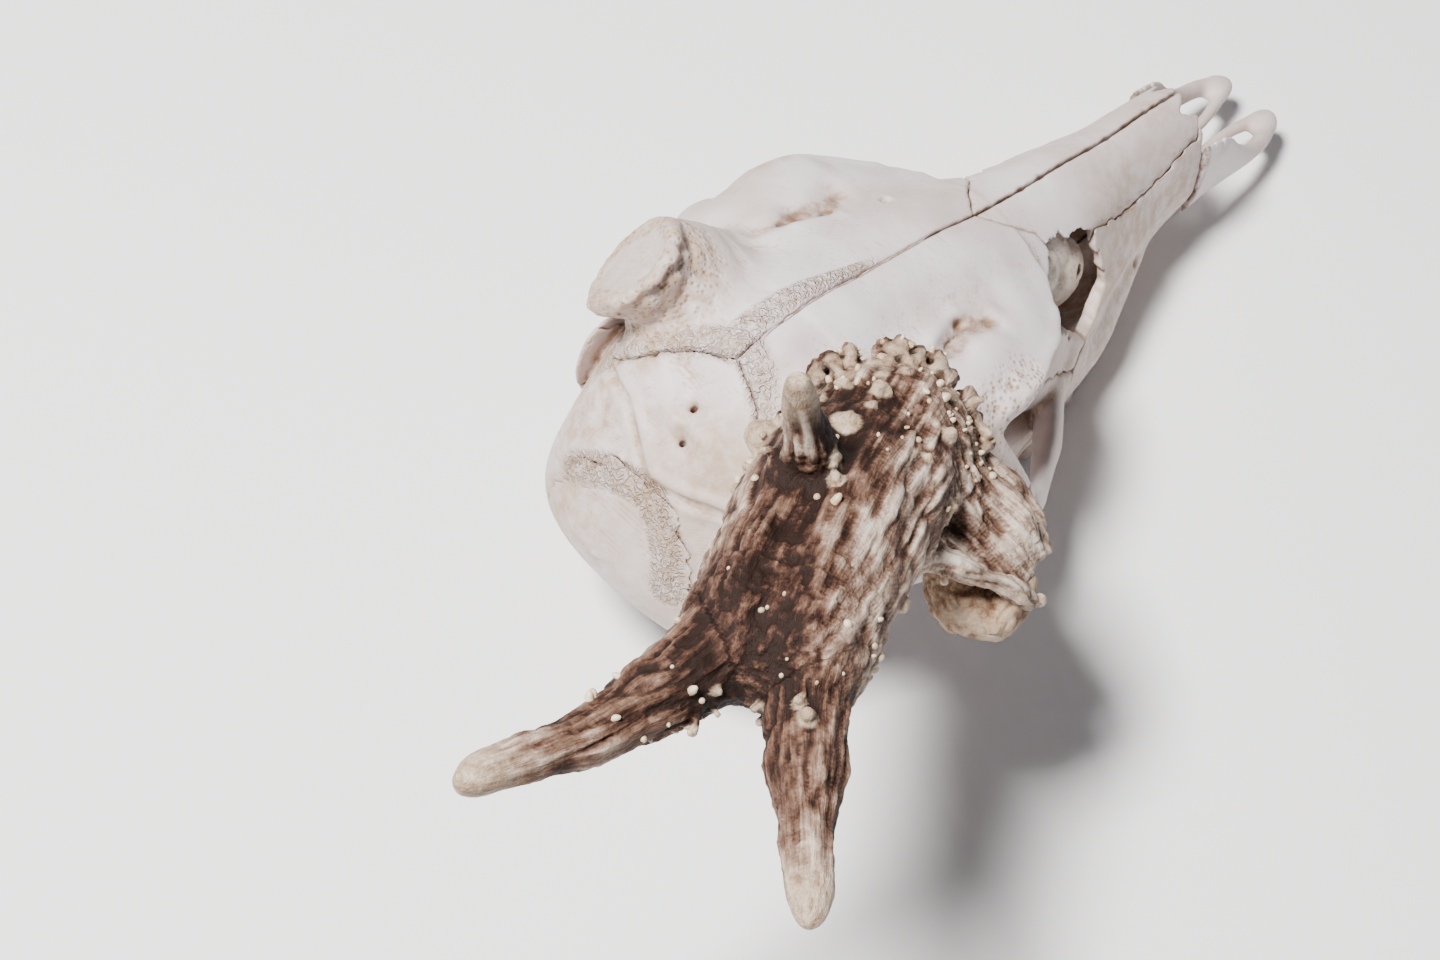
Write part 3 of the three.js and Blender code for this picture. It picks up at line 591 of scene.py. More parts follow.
print("strokes:", len(RIDGES + PARIETAL_DENTS + FOREHEAD) + 2 * len(BOTH_SIDES))

# %% Draw the relief
skull.field -= (0.45 * waves(4, 20, *skull.places())).astype(np.float32)
for line, width, height in RIDGES + PARIETAL_DENTS + FOREHEAD:
    skull.swell(line, width, height)
for side in (1, -1):
    # The roof is thickened under the grooves, so that they do not break through it.
    skull.add(sweep(sided(GROOVE_FLOOR, side), (0, 1, 0)), 2)
    for line, width, height in BOTH_SIDES:
        skull.swell(sided(line, side), width, height)
lip_line = skull.settle(LIP)
print("relief drawn")

# %% Bore the foramina and the nose
PARIETAL_HOLES = [
    [[-187.4, -1.5, 77, 0.8, 0.8], [-187.0, -1.2, 70, 0.7, 0.7]],
    [[-182.2, 0.9, 81, 0.75, 0.75], [-182, 1.0, 75, 0.6, 0.6]],
    [[-179.9, 13.7, 79.4, 0.4, 0.4], [-178.9, 12.7, 76, 0.4, 0.4]],
]
PAIRED_HOLES = [
    [[-131.4, 19.0, 76, 1.7, 1.7], [-129, 17.6, 70.6, 1.2, 1.2]],
    [[-140.2, 21.6, 78, 1.7, 0.8], [-138.5, 20.6, 72.4, 0.8, 0.6]],
    [[-124.4, 20.8, 74, 0.8, 0.7], [-123.5, 20, 69.6, 0.6, 0.6]],
    [[-60, 16, 22, 1.8, 1.4], [-66, 12, 24, 1.4, 1.2]],
]
HOLES = PARIETAL_HOLES + [sided(hole, side) for side in (1, -1) for hole in PAIRED_HOLES]
for hole in HOLES:
    skull.cut(sweep(hole), 1.1)
skull.cut(loft(CAVITY), 0.6)
skull.cut(ball((-200, 0, 29.5), (12, 7.4, 6.6)), 1.5)  # the hole for the spinal cord
ring = skull.settle([(-116.8, 13.2, 69.6)])[0]
skull.swell([ring, ring + 0.1], 2.0, 0.5)
skull.cut(ball(ring, (1.2, 1.2, 1.0)), 0.3)
print("holes bored:", len(HOLES) + 3)


# %% [markdown]
# ## Sutures
#
# The bones of a skull meet in sutures, seams that wander because each bone grew into its neighbour. Each
# bone is the clay inside an outline seen from above or from the side. The outlines are bent by the same
# waves for both neighbours, so they part along one wandering line. The solid model keeps a clear gap there.
# Here only the seams of the nose stand open, and the others are closed to a hair, as in an adult skull.

# %% A bent outline as a distance
def outline(points, u, v, seed=2, sway=0.4):
    """Distance to a closed outline in a plane, below zero inside it, with the plane gently bent."""
    points = np.array(points, float)
    bent_u = u + sway * waves(seed, 4.5, u, v) + 0.4 * sway * waves(seed + 1, 1.9, u, v)
    bent_v = v + sway * waves(seed + 2, 4.5, u, v)
    nearest = np.full(np.broadcast_shapes(u.shape, v.shape), 1e9)
    inside = np.zeros(nearest.shape, bool)
    for a, b in zip(points, np.roll(points, -1, axis=0)):
        way = b - a
        t = np.clip(((bent_u - a[0]) * way[0] + (bent_v - a[1]) * way[1]) / (way @ way), 0, 1)
        gap = (bent_u - a[0] - t * way[0]) ** 2 + (bent_v - a[1] - t * way[1]) ** 2
        nearest = np.minimum(nearest, gap)
        if a[1] != b[1]:
            crossing = (a[1] > bent_v) != (b[1] > bent_v)
            inside ^= crossing & (bent_u < way[0] * (bent_v - a[1]) / (b[1] - a[1]) + a[0])
    return (np.sqrt(nearest) * np.where(inside, -1, 1)).astype(np.float32)


# %% The outlines of the bones, on the animal's left
NASAL_TOP = [(-38, 0.2), (-37.6, 1.6), (-41.2, 3.8), (-36.1, 5.6), (-38, 7.8), (-60, 10.2), (-80.5, 12.6),
             (-94, 12.8), (-95.5, 9), (-101, 5), (-105, 0.15)]
NASAL_SIDE = [(-30, 35), (-60, 39), (-84, 46.5), (-110, 52), (-110, 90), (-30, 90)]
FRONTAL_TOP = [(-94.3, 0.15), (-94.3, 16), (-102, 21), (-110, 29), (-113, 50), (-152, 50), (-164, 36),
               (-186, 34), (-181.8, 17), (-175.6, 8.4), (-172.2, 0.15)]
FRONTAL_SIDE = [(-60, 58), (-104, 54), (-112, 52), (-150, 52), (-168, 62), (-200, 84), (-200, 140),
                (-60, 140)]
OCCIPITAL_SIDE = [(-195, 90), (-195.3, 67), (-198.4, 59), (-201.2, 50), (-201.6, 43), (-194, 36),
                  (-194, -10), (-240, -10), (-240, 90)]
PARIETAL_SIDE = [(-120, 64), (-160, 57), (-204, 54), (-204, 120), (-120, 120)]
JUGAL_SIDE = [(-148, 10), (-148, 52), (-130, 52), (-112, 42), (-105, 37), (-97, 29), (-101, 19), (-114, 15)]
LACRIMAL_SIDE = [(-90, 30), (-90, 64), (-120, 64), (-120, 40), (-105, 37), (-97, 29)]
VACUITY = [(-80, 50.8), (-94, 57.6), (-101.4, 52), (-101, 45), (-90, 30.5), (-79, 35)]
SUTURE_GAP = 0.3
print("bone outlines drawn")


def box_region(x, y, z, low, high):
    """Distance to an upright box, below zero inside it."""
    sides = [np.maximum(a - p, p - b) for p, a, b in zip((x, y, z), low, high)]
    return np.maximum(np.maximum(sides[0], sides[1]), sides[2])


def region(bone, side, x, y, z):
    """Distance to the space that a bone of one side takes, below zero inside it."""
    out = y * side
    if bone == "nasal":
        return np.maximum(outline(NASAL_TOP, x, out, sway=0.16), outline(NASAL_SIDE, x, z))
    if bone == "frontal":
        return np.maximum(outline(FRONTAL_TOP, x, out, sway=0.16), outline(FRONTAL_SIDE, x, z))
    if bone == "occipital":
        foot = box_region(x, np.abs(y), z, (-197, 18, -10), (-180.5, 40, 33))
        base = box_region(x, y, z, (-198, -11, -10), (-158, 11, 31))
        return np.minimum(np.minimum(outline(OCCIPITAL_SIDE, x, z), foot), base)
    if bone == "parietal":
        return outline(PARIETAL_SIDE, x, z)
    if bone == "temporal":
        return np.maximum(x + 149, -out)
    if bone == "jugal":
        return np.maximum(outline(JUGAL_SIDE, x, z), 21.5 - out)
    if bone == "lacrimal":
        return np.maximum(outline(LACRIMAL_SIDE, x, z), 8 - out)
    if bone == "palatine":
        return box_region(x, y, z, (-146, -12.5, -10), (-86, 12.5, 27))
    return np.maximum(-122 - x, -out)


# %% Cut the openings in front of the orbits and the crack before the premaxillae
x, y, z = skull.places()
opening = np.maximum(outline(VACUITY, x, z, seed=9, sway=0.8), 8 - np.abs(y))
skull.field = np.maximum(skull.field, -opening)
CRACK_POINT = np.array([-37.6, 0, 30])
CRACK_NORMAL = np.array([1, 0, -0.14]) / math.hypot(1, 0.14)


def crack_distance(x, y, z):
    """Distance behind (below zero) or in front of the wandering crack between maxillae and premaxillae."""
    flat = (x - CRACK_POINT[0]) * CRACK_NORMAL[0] + (z - CRACK_POINT[2]) * CRACK_NORMAL[2]
    return flat + 0.5 * waves(21, 5, y, z)


print("openings cut")


# %% [markdown]
# ## From clay to mesh
#
# OpenVDB, which comes with Blender, walks through the block and lays four-sided faces where the distance
# changes sign. Every face points outwards and the mesh is closed. Each vertex also gets a few measured
# numbers, called attributes: how deep it lies in a hollow, how near it is to a rough welt, and so on. The
# materials read these later, so dirt lies in the real crevices.

# %% Faces round the clay
def skin(field, low, step):
    """Vertices in millimetres and four-sided faces of the surface of a block of clay."""
    solid = np.nonzero(field < 0)
    first = [max(int(i.min()) - 3, 0) for i in solid]
    last = [int(i.max()) + 4 for i in solid]
    block = field[tuple(slice(a, b) for a, b in zip(first, last))]
    block = np.pad(block, 1, constant_values=3 * step)
    grid = openvdb.FloatGrid(3 * step)
    grid.copyFromArray(np.clip(block, -3 * step, 3 * step))
    points, _, quads = grid.convertToPolygons(isovalue=0.0, adaptivity=0.0)
    return (points.astype(float) - 1 + first) * step + low, quads.astype(np.int64)


def largest_lump(points, quads):
    """Only the largest connected part of a mesh, so that no crumb is left by a cut."""
    label = np.arange(len(points))
    pairs = np.concatenate([quads[:, [0, 1]], quads[:, [1, 2]], quads[:, [2, 3]], quads[:, [3, 0]]])
    while True:
        low = np.minimum(label[pairs[:, 0]], label[pairs[:, 1]])
        new = label.copy()
        np.minimum.at(new, pairs[:, 0], low)
        new = new[new]
        if (new == label).all():
            break
        label = new
    root = np.bincount(label).argmax()
    keep = label == root
    number = np.cumsum(keep) - 1
    return points[keep], number[quads[keep[quads[:, 0]]]]


# %% A finished piece in the scene
def make_piece(name, points, quads, attributes, material, node=None):
    """A closed mesh at its place in the frame, which rides on the skull and stands for a solid node."""
    mesh = bpy.data.meshes.new(name)
    mesh.vertices.add(len(points))
    metres = ((points + SKULL_ZERO) * MM).astype(np.float32)
    mesh.vertices.foreach_set("co", metres.ravel())
    mesh.loops.add(quads.size)
    mesh.loops.foreach_set("vertex_index", quads.astype(np.int32).ravel())
    mesh.polygons.add(len(quads))
    mesh.polygons.foreach_set("loop_start", np.arange(0, quads.size, 4, dtype=np.int32))
    mesh.update(calc_edges=True)
    mesh.shade_smooth()
    for key, values in attributes.items():
        values = np.asarray(values, np.float32)
        kind, field = ("FLOAT", "value") if values.ndim == 1 else ("FLOAT_VECTOR", "vector")
        mesh.attributes.new(key, kind, "POINT").data.foreach_set(field, values.ravel())
    mesh.materials.append(material)
    piece = bpy.data.objects.new(name, mesh)
    bpy.context.collection.objects.link(piece)
    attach(piece, "root")
    if node:
        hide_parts(node)
    print(f"{name}: {len(quads)} faces")
    return piece


# %% [markdown]
# ## Materials
#
# Dry bleached bone is a matte mineral with a little collagen left, so light sinks in by a fraction of a
# millimetre and softens every edge. Antler is bone too, stained brown by bark and blood, and rubbed back to
# ivory on its ridges and tips.

# %% Colours and one helper for nodes
def colour(hex_code):
    """A linear colour with alpha, from an sRGB hex code."""
    parts = [int(hex_code[i:i + 2], 16) / 255 for i in (1, 3, 5)]
    return [c / 12.92 if c <= 0.04045 else ((c + 0.055) / 1.055) ** 2.4 for c in parts] + [1]


def add(tree, kind, settings=None, inputs=None, stops=None):
    """Adds a node, sets it, fills or links its inputs, and gives it back."""
    made = tree.nodes.new(kind)
    for key, value in (settings or {}).items():
        setattr(made, key, value)
    for key, value in (inputs or {}).items():
        if isinstance(value, bpy.types.NodeSocket):
            tree.links.new(value, made.inputs[key])
        else:
            made.inputs[key].default_value = value
    if stops:
        ramp = made.color_ramp
        while len(ramp.elements) < len(stops):
            ramp.elements.new(1)
        for element, (place, code) in zip(ramp.elements, stops):
            element.position = place
            element.color = colour(code)
    return made


def start_material(name):
    """A new material, its tree, its surface shader and the object coordinates."""
    material = bpy.data.materials.new(name)
    material.use_nodes = True
    tree = material.node_tree
    shader = tree.nodes["Principled BSDF"]
    place = add(tree, "ShaderNodeTexCoord").outputs["Object"]
    return material, tree, shader, place


# %% [markdown]
# ### Bleached bone
#
# A boiled and bleached skull is matte and nearly white, a little lilac where it is dense. A flat white would
# look like plaster. What tells the eye that it is bone is faint warm patches, a fine grain, brain-like worm
# tracks on the growing edges, pits on the rough parts, and dust and old soil in the crevices. The crevices,
# the shallow dents and the lower flanks of the face are also darkened as painted shade. Noise makes the
# patterns, and the measured attributes say where each one lies.

# %% Bone, bleached: matte, with worm tracks in its welts, and dirt and painted shade in its crevices
PATCH_MM = 24  # soft patches of warmer and cooler bone
GRAIN_MM = 1.0  # fibre and fine grain of the surface
WORM_MM = 1.5  # spacing of the worm tracks in the welts
SOIL_MM = 3.5  # lumps of the dirt, which never lies evenly
PIT_MM = 1.1  # pores of rough growing bone


def bone_material(name, pale, shade, shade_and_dirt_colour):
    """Bleached bone: soft patches give it life, and dirt, painted shade and tracks follow the measured
    attributes.
    """
    material, tree, shader, place = start_material(name)
    marks = {key: add(tree, "ShaderNodeAttribute", {"attribute_name": key}).outputs["Fac"]
             for key in ("welt", "shade_and_dirt", "stain_and_shade", "seam", "rough")}
    noises = {}
    for label, size, detail, roughness, distortion in (
        ("patch", PATCH_MM, 3, 0.5, 0),
        ("worm", WORM_MM, 1, 0.5, 1.1),
        ("soil", SOIL_MM, 6, 0.68, 0),
        ("grain", GRAIN_MM, 5, 0.7, 0),
    ):
        settings = {"Vector": place, "Scale": 1 / (size * MM), "Detail": detail, "Roughness": roughness,
                    "Distortion": distortion}
        noises[label] = add(tree, "ShaderNodeTexNoise", {}, settings).outputs["Fac"]
    centred = add(tree, "ShaderNodeMath", {"operation": "SUBTRACT"}, {0: noises["worm"], 1: 0.5})
    width = add(tree, "ShaderNodeMath", {"operation": "ABSOLUTE"}, {0: centred.outputs[0]}).outputs[0]
    pores = add(tree, "ShaderNodeTexVoronoi", {}, {"Vector": place, "Scale": 1 / (PIT_MM * MM)})

    # Each range turns a pattern into a share: the dirt breaks up, the tracks are narrow lines, the slope is
    # their wider trench for the bump, and the pits are round.
    ranged = {}
    for label, source, low, high, first, last in (
        ("soiled", noises["soil"], 0.32, 0.66, 0.25, 1.0),
        ("track", width, 0.0, 0.09, 1.0, 0.0),
        ("slope", width, 0.0, 0.2, 1.0, 0.0),
        ("pitted", pores.outputs["Distance"], 0.1, 0.55, 1.0, 0.0),
    ):
        settings = {"Value": source, "From Min": low, "From Max": high, "To Min": first, "To Max": last}
        made = add(tree, "ShaderNodeMapRange", {"interpolation_type": "SMOOTHSTEP"}, settings)
        ranged[label] = made.outputs["Result"]
    share = {}
    for label, pattern, mark in (
        ("groove", "track", "welt"),
        ("trench", "slope", "welt"),
        ("hole", "pitted", "rough"),
    ):
        share[label] = add(tree, "ShaderNodeMath", {"operation": "MULTIPLY"},
                           {0: ranged[pattern], 1: marks[mark]}).outputs[0]

    # Old fat and handling warm the bone, the tracks and pits hold a little dust, the crevices hold soil.
    # The warm layer also carries painted shade, and so does the crevice layer where bone crowds round.
    tone = add(tree, "ShaderNodeValToRGB", {}, {"Fac": noises["patch"]}, [(0.36, shade), (0.57, pale)])
    paint = tone.outputs["Color"]
    for layer, code in (
        # The warm layer is partly painted shade, in shallow dents and on the lower flanks of the face.
        (marks["stain_and_shade"], "#B0957F"),
        (share["groove"], "#A8927F"),
        (share["hole"], "#8F755F"),
        # The crevice layer is painted shade where bone crowds round, and dirt in the grooves and along the
        # lip.
        (marks["shade_and_dirt"], shade_and_dirt_colour),
        (marks["seam"], "#7A6250"),
    ):
        amount = add(tree, "ShaderNodeMath", {"operation": "MULTIPLY"}, {0: layer, 1: ranged["soiled"]})
        paint = add(tree, "ShaderNodeMix", {"data_type": "RGBA"},
                    {0: amount.outputs[0], 6: paint, 7: colour(code)}).outputs[2]
    tree.links.new(paint, shader.inputs["Base Color"])

    # The fine grain takes the plastic look away, and pits and tracks catch small shadows.
    normal = None
    for height, strength, depth, sunk in (
        (noises["grain"], 0.14, 0.3, False),
        (share["hole"], 0.7, 0.3, True),
        (share["trench"], 1.0, 0.6, True),
    ):
        settings = {"Strength": strength, "Distance": depth * MM, "Height": height}
        if normal:
            settings["Normal"] = normal
        normal = add(tree, "ShaderNodeBump", {"invert": sunk}, settings).outputs["Normal"]
    tree.links.new(normal, shader.inputs["Normal"])
    shader.inputs["Roughness"].default_value = 0.55
    shader.inputs["IOR"].default_value = 1.5
    # Light sinks in by about a millimetre, which softens the edges as in dry bone.
    shader.inputs["Subsurface Weight"].default_value = 0.1
    shader.inputs["Subsurface Radius"].default_value = (0.9, 0.6, 0.45)
    shader.inputs["Subsurface Scale"].default_value = 1.2 * MM
    return material


# The last colour of each is the dark of the crevices: painted shade where bone crowds round, and dirt.
bone = bone_material("bleached_bone", "#D6CDD1", "#C4B6B2", "#765A47")
thin_bone = bone_material("thin_nose_bone", "#D6CABF", "#BFAFA2", "#4E382A")
print("bone materials made")

# %% [markdown]
# ### Antler
#
# Antler grows furrowed, under a skin that the buck strips off against trees. Bark and blood stain it brown,
# deepest in the furrows and between the tines, and rubbing bares the ivory of the ridges and the tips. So
# one number, the level, adds up how high a spot stands, streaks along the tine, flecks and patches, and a
# ramp turns the level from near black to ivory. That gives the eye sharp streaks that follow the furrows.
# Where the antler crowds round itself, in the fork and the coronet, the level also drops as painted shade.

# %% Antler, grown and rubbed: stained brown in its furrows, ivory on its ridges, painted shade where it crowds
STREAK_MM = (11, 0.9, 0.9)  # streaks run along each tine
FIBRE_MM = 0.7  # fine fibre, which gives a dry sheen
FLECK_MM = 2.4  # flecks where the stain held or rubbed off
STAIN_MM = 11  # broad darker and lighter patches


def antler_material():
    """Antler: the ridges are pale and a little polished, and the furrows are dark and dry."""
    material, tree, shader, place = start_material("furrowed_antler")
    ridge, ivory, dark = (add(tree, "ShaderNodeAttribute", {"attribute_name": key}).outputs["Fac"]
                          for key in ("ridge", "ivory", "dark"))
    along = add(tree, "ShaderNodeAttribute", {"attribute_name": "grain"}).outputs["Vector"]
    drawn = add(tree, "ShaderNodeVectorMath", {"operation": "DIVIDE"}, {0: along, 1: STREAK_MM}).outputs[0]
    noises = {}
    for label, vector, scale, detail, roughness in (
        ("streak", drawn, 1.0, 3, 0.65),
        ("fleck", place, 1 / (FLECK_MM * MM), 8, 0.8),
        ("patch", place, 1 / (STAIN_MM * MM), 4, 0.5),
        ("fibre", place, 1 / (FIBRE_MM * MM), 4, 0.7),
    ):
        settings = {"Vector": vector, "Scale": scale, "Detail": detail, "Roughness": roughness}
        noises[label] = add(tree, "ShaderNodeTexNoise", {}, settings).outputs["Fac"]
    # The ridge attribute is lower where the antler crowds round itself: painted shade in the fork and
    # coronet.
    level = ridge
    for part, share in (
        (noises["streak"], 2.6),
        (noises["fleck"], 2.4),
        (noises["patch"], 1.4),
        (dark, -0.95),
    ):
        level = add(tree, "ShaderNodeMath", {"operation": "MULTIPLY_ADD"},
                    {0: part, 1: share, 2: level}).outputs[0]
    level = add(tree, "ShaderNodeMapRange", {}, {"Value": level, "From Min": 2.4, "From Max": 5.85})
    tone = add(tree, "ShaderNodeValToRGB", {}, {"Fac": level.outputs["Result"]},
               [(0.02, "#20120D"), (0.14, "#3A241B"), (0.24, "#523A2F"), (0.36, "#6C5345"),
                (0.49, "#8D776A"), (0.62, "#B6A292"), (0.8, "#D0C5BA")])

    # Tips, pearls and flakes are bare ivory, mottled by the same flecks.
    pale = add(tree, "ShaderNodeMath", {"operation": "MULTIPLY_ADD"}, {0: noises["fleck"], 1: 1.4, 2: -0.3})
    bare = add(tree, "ShaderNodeValToRGB", {}, {"Fac": pale.outputs[0]},
               [(0.14, "#6A4C3B"), (0.3, "#9F866F"), (0.46, "#BBA791"), (0.7, "#D3C6B3")])
    paint = add(tree, "ShaderNodeMix", {"data_type": "RGBA"},
                {0: ivory, 6: tone.outputs["Color"], 7: bare.outputs["Color"]})
    tree.links.new(paint.outputs[2], shader.inputs["Base Color"])
    fine = add(tree, "ShaderNodeBump", {}, {"Strength": 0.6, "Distance": 0.4 * MM, "Height": noises["fibre"]})
    coarse = add(tree, "ShaderNodeBump", {}, {"Strength": 0.8, "Distance": 0.6 * MM,
                                              "Height": noises["streak"], "Normal": fine.outputs["Normal"]})
    tree.links.new(coarse.outputs["Normal"], shader.inputs["Normal"])
    polish = add(tree, "ShaderNodeMapRange", {}, {"Value": ivory, "To Min": 0.72, "To Max": 0.42})
    tree.links.new(polish.outputs["Result"], shader.inputs["Roughness"])
    shader.inputs["Specular IOR Level"].default_value = 0.2
    shader.inputs["IOR"].default_value = 1.5
    return material


antler = antler_material()
print("antler material made")

# %% [markdown]
# ### Pearls and spongy bone
#
# Two finishes are left. The pearls are solid ivory, smooth and a little glossy, so each catches a small
# light. The core of the lobe never hardened: it is spongy bone, dry as pumice, and its pits are dark at
# their bottom. That dark is painted shade, deeper in the pits, on a rough surface with a strong bump.

# %% Antler pearl, rubbed smooth: a soft gloss on mottled ivory
PEARL_MOTTLE_MM = 2.4
pearl, tree, shader, place = start_material("antler_pearl")
mottle = add(tree, "ShaderNodeTexNoise", {}, {"Vector": place, "Scale": 1 / (PEARL_MOTTLE_MM * MM),
                                              "Detail": 4})
tone = add(tree, "ShaderNodeValToRGB", {}, {"Fac": mottle.outputs["Fac"]},
           [(0.34, "#A48767"), (0.5, "#C6B196"), (0.7, "#DBCFBC")])
tree.links.new(tone.outputs["Color"], shader.inputs["Base Color"])
shader.inputs["Roughness"].default_value = 0.4
shader.inputs["IOR"].default_value = 1.5
print("pearl material made")

# %% Spongy antler bone, unfinished growth: matte, with pits at every size and painted shade in them
SPONGE_MM = 2.2
spongy, tree, shader, place = start_material("spongy_antler_bone")
mottle = add(tree, "ShaderNodeTexNoise", {}, {"Vector": place, "Scale": 1 / (SPONGE_MM * MM), "Detail": 8,
                                              "Roughness": 0.8})
deep = add(tree, "ShaderNodeAttribute", {"attribute_name": "deep"}).outputs["Fac"]
# Painted shade: the deeper a point lies in the core, the darker its colour.
sunk = add(tree, "ShaderNodeMath", {"operation": "MULTIPLY_ADD"},
           {0: deep, 1: -0.36, 2: mottle.outputs["Fac"]})
tone = add(tree, "ShaderNodeValToRGB", {}, {"Fac": sunk.outputs[0]},
           [(0.12, "#3E2519"), (0.28, "#86654D"), (0.42, "#B9997D"), (0.66, "#D8C5AE")])
tree.links.new(tone.outputs["Color"], shader.inputs["Base Color"])
bump = add(tree, "ShaderNodeBump", {}, {"Strength": 1.0, "Distance": 1.0 * MM,
                                        "Height": mottle.outputs["Fac"]})
tree.links.new(bump.outputs["Normal"], shader.inputs["Normal"])
shader.inputs["Roughness"].default_value = 0.85
print("spongy material made")


# %% [markdown]
# ## The bones
#
# The bones come out of the clay in the order in which they lie over each other. Each takes the clay inside
# its outline, and what is left stops at a fine seam. The frontals get their rough welts first, so that they
# end in a step over the smooth parietal.

# %% Helpers that measure a vertex
def occupied(field, step, reach):
    """The share of bone within a cube of `reach` millimetres round each place."""
    full = np.clip(0.5 - field / step, 0, 1)
    half = max(int(round(reach / step / 2)), 1)
    for axis in range(3):
        total = np.cumsum(np.pad(full, [(half + 1, half) if k == axis else (0, 0) for k in range(3)],
                                 mode="edge"), axis=axis, dtype=np.float32)
        size = full.shape[axis]
        ahead = np.take(total, np.arange(2 * half + 1, size + 2 * half + 1), axis=axis)
        behind = np.take(total, np.arange(0, size), axis=axis)
        full = (ahead - behind) / (2 * half + 1)
    return full


def sample(block, clay, points):
    """The value of a block at the cube nearest to each point."""
    index = np.rint((points - clay.low) / clay.step).astype(int)
    index = np.clip(index, 0, np.array(block.shape) - 1)
    return block[tuple(index.T)]


def fade(values, start, end):
    """0 at start, 1 at end, smooth between."""
    t = np.clip((values - start) / (end - start), 0, 1)
    return t * t * (3 - 2 * t)


# %% Where the bone is rough, stained or sunk
RIGHT_RIM = [(-128, -33.5, 67), (-136, -35.5, 68.5), (-142, -38, 65), (-143, -42, 58)]
GROOVES = [sided([(-141, 21.4, 73), (-134.5, 20.6, 72), (-130, 18.8, 71.4), (-124, 20.4, 70)], side)
           for side in (1, -1)]
THIN_RIM = [(-138, 35.6, 68), (-131, 35.4, 67.6), (-124, 34.4, 66.8)]
SEAL_DEPTH = 0.6  # vertices this near to the plane of the seal belong to its face


def welt_at(side, x, y, z):
    """1 on the rough growing edges of the frontals, 0 elsewhere."""
    line = CORONAL_WELT if side > 0 else mirrored(CORONAL_WELT)
    found = 1 - fade(line_distance(line, x, y, z), 2.2, 4.3)
    width = 1.0 + 2.6 * fade(-x, 128, 166)
    band = 1 - fade(np.abs(y - 0.95 * width) / width, 0.5, 1.05)
    band = band * fade(-x, 131, 140) * (x > -174) * (z > 70)
    return np.maximum(found, band if side > 0 else 0)


def bone_numbers(points, seam):
    """The attributes of bone at vertices: welt, hollow, stain, seam and rough."""
    place = points.T
    welt = np.where(points[:, 1] > -0.2, welt_at(1, *place), welt_at(-1, *place))
    welt = np.maximum(welt, 1 - fade(line_distance(LAMBDOID, *place), 2.6, 4.4))

    # The left pedicle: a rough neck, and a seal whose middle is clean.
    neck = 1 - fade(np.linalg.norm(points - SEAL_CENTRE, axis=1), 12, 22)
    neck *= fade(-points[:, 0], 152, 160) * fade(points[:, 2], 70, 77)
    from_axis = np.linalg.norm(np.cross(points - SEAL_CENTRE, SEAL_NORMAL), axis=1)
    inner = 1 - fade(from_axis + 0.8 * lattice(points, 2.5, 9), 7.4, 8.4)
    face = np.abs((points - SEAL_CENTRE) @ SEAL_NORMAL) < SEAL_DEPTH

    # Crevices: painted shade wherever bone crowds round, and dirt in the grooves over the orbits and the lip
    # of the parietal.
    crowd = sample(crowding, skull, points)
    to_groove = np.minimum(*(line_distance(line, *place) for line in GROOVES))
    sunk = to_groove + 1.2 * lattice(points, 1.8, 13)
    lip = line_distance(lip_line, *place) + 0.5 * lattice(points, 2.4, 17)
    lip_dirt = 0.6 * (1 - fade(lip, 0.1, 0.7)) * (0.5 + lattice(points, 2.5, 19))
    shade_and_dirt = np.maximum.reduce([fade(crowd, 0.55, 0.82), 0.85 * (1 - fade(sunk, 1.0, 2.6)), lip_dirt])

    # Warm stains on the neck, welts, thin rims and the bridge of the nose, and the rear grows warmer.
    # The same warm tint is painted shade in shallow dents and on the lower flanks of the face.
    right_rim = 1 - fade(line_distance(RIGHT_RIM, *place), 3.5, 8)
    stain_and_shade = np.where(face, 1.1 * (1 - inner), 0.95 * neck) + 0.5 * welt + 0.35 * right_rim
    stain_and_shade += 0.3 * fade(lattice(points, 7.0, 3), 0.25, 0.9)
    stain_and_shade += 0.5 * (1 - fade(line_distance(THIN_RIM, *place), 1.2, 3.4))
    stain_and_shade += 0.55 * (1 - fade(to_groove, 2.0, 4.5)) * (0.5 + lattice(points, 2.2, 12))
    # Painted shade: shallow concavities, where bone crowds round a little, get the warm tint.
    stain_and_shade += 0.9 * fade(crowd, 0.505, 0.6)
    stain_and_shade += 1.2 * (1 - fade(lip, 0.3, 1.4)) * (0.75 + lattice(points, 3.5, 18))
    stain_and_shade += 0.9 * fade(-points[:, 0], 172, 190) * (0.8 + 0.8 * lattice(points, 14, 14))
    # Painted shade: the lower flanks of the face are tinted darker towards the bottom.
    stain_and_shade += 0.95 * (1 - fade(points[:, 2], 22, 54)) * fade(points[:, 0], -128, -100)
    stain_and_shade += 0.5 * fade(points[:, 0], -96, -62) * (0.8 + 0.8 * lattice(points, 18, 16))

    tooth = 1 - fade(points[:, 2], 8, 12)
    rough = np.maximum.reduce([np.where(face, 0.6 * (1 - inner) + 0.1, neck), right_rim, 0.25 * welt])
    return {"welt": welt * (1 - tooth), "shade_and_dirt": shade_and_dirt, "stain_and_shade": np.clip(stain_and_shade + 0.5 * tooth, 0, 1),
            "seam": seam, "rough": rough * (1 - tooth)}


def seam_strength(points):
    """How dark a seam is: the open seams of the face are dark, and those behind the orbits are closed."""
    behind = fade(-points[:, 0], 122, 131)
    above = fade(points[:, 2], 62, 68)
    return 0.6 - 0.55 * behind * above - 0.25 * behind * (1 - above)


# %% Roughen the clay and keep it inside the solid model's box
RELIEF_REACH = 1.5  # how deep under the surface the relief is worked out, in millimetres
CROWD_REACH = 5.4  # the size of the crevices that count as hollow
BOX_MARGIN = 0.1
BOX_ROUNDING = 0.8


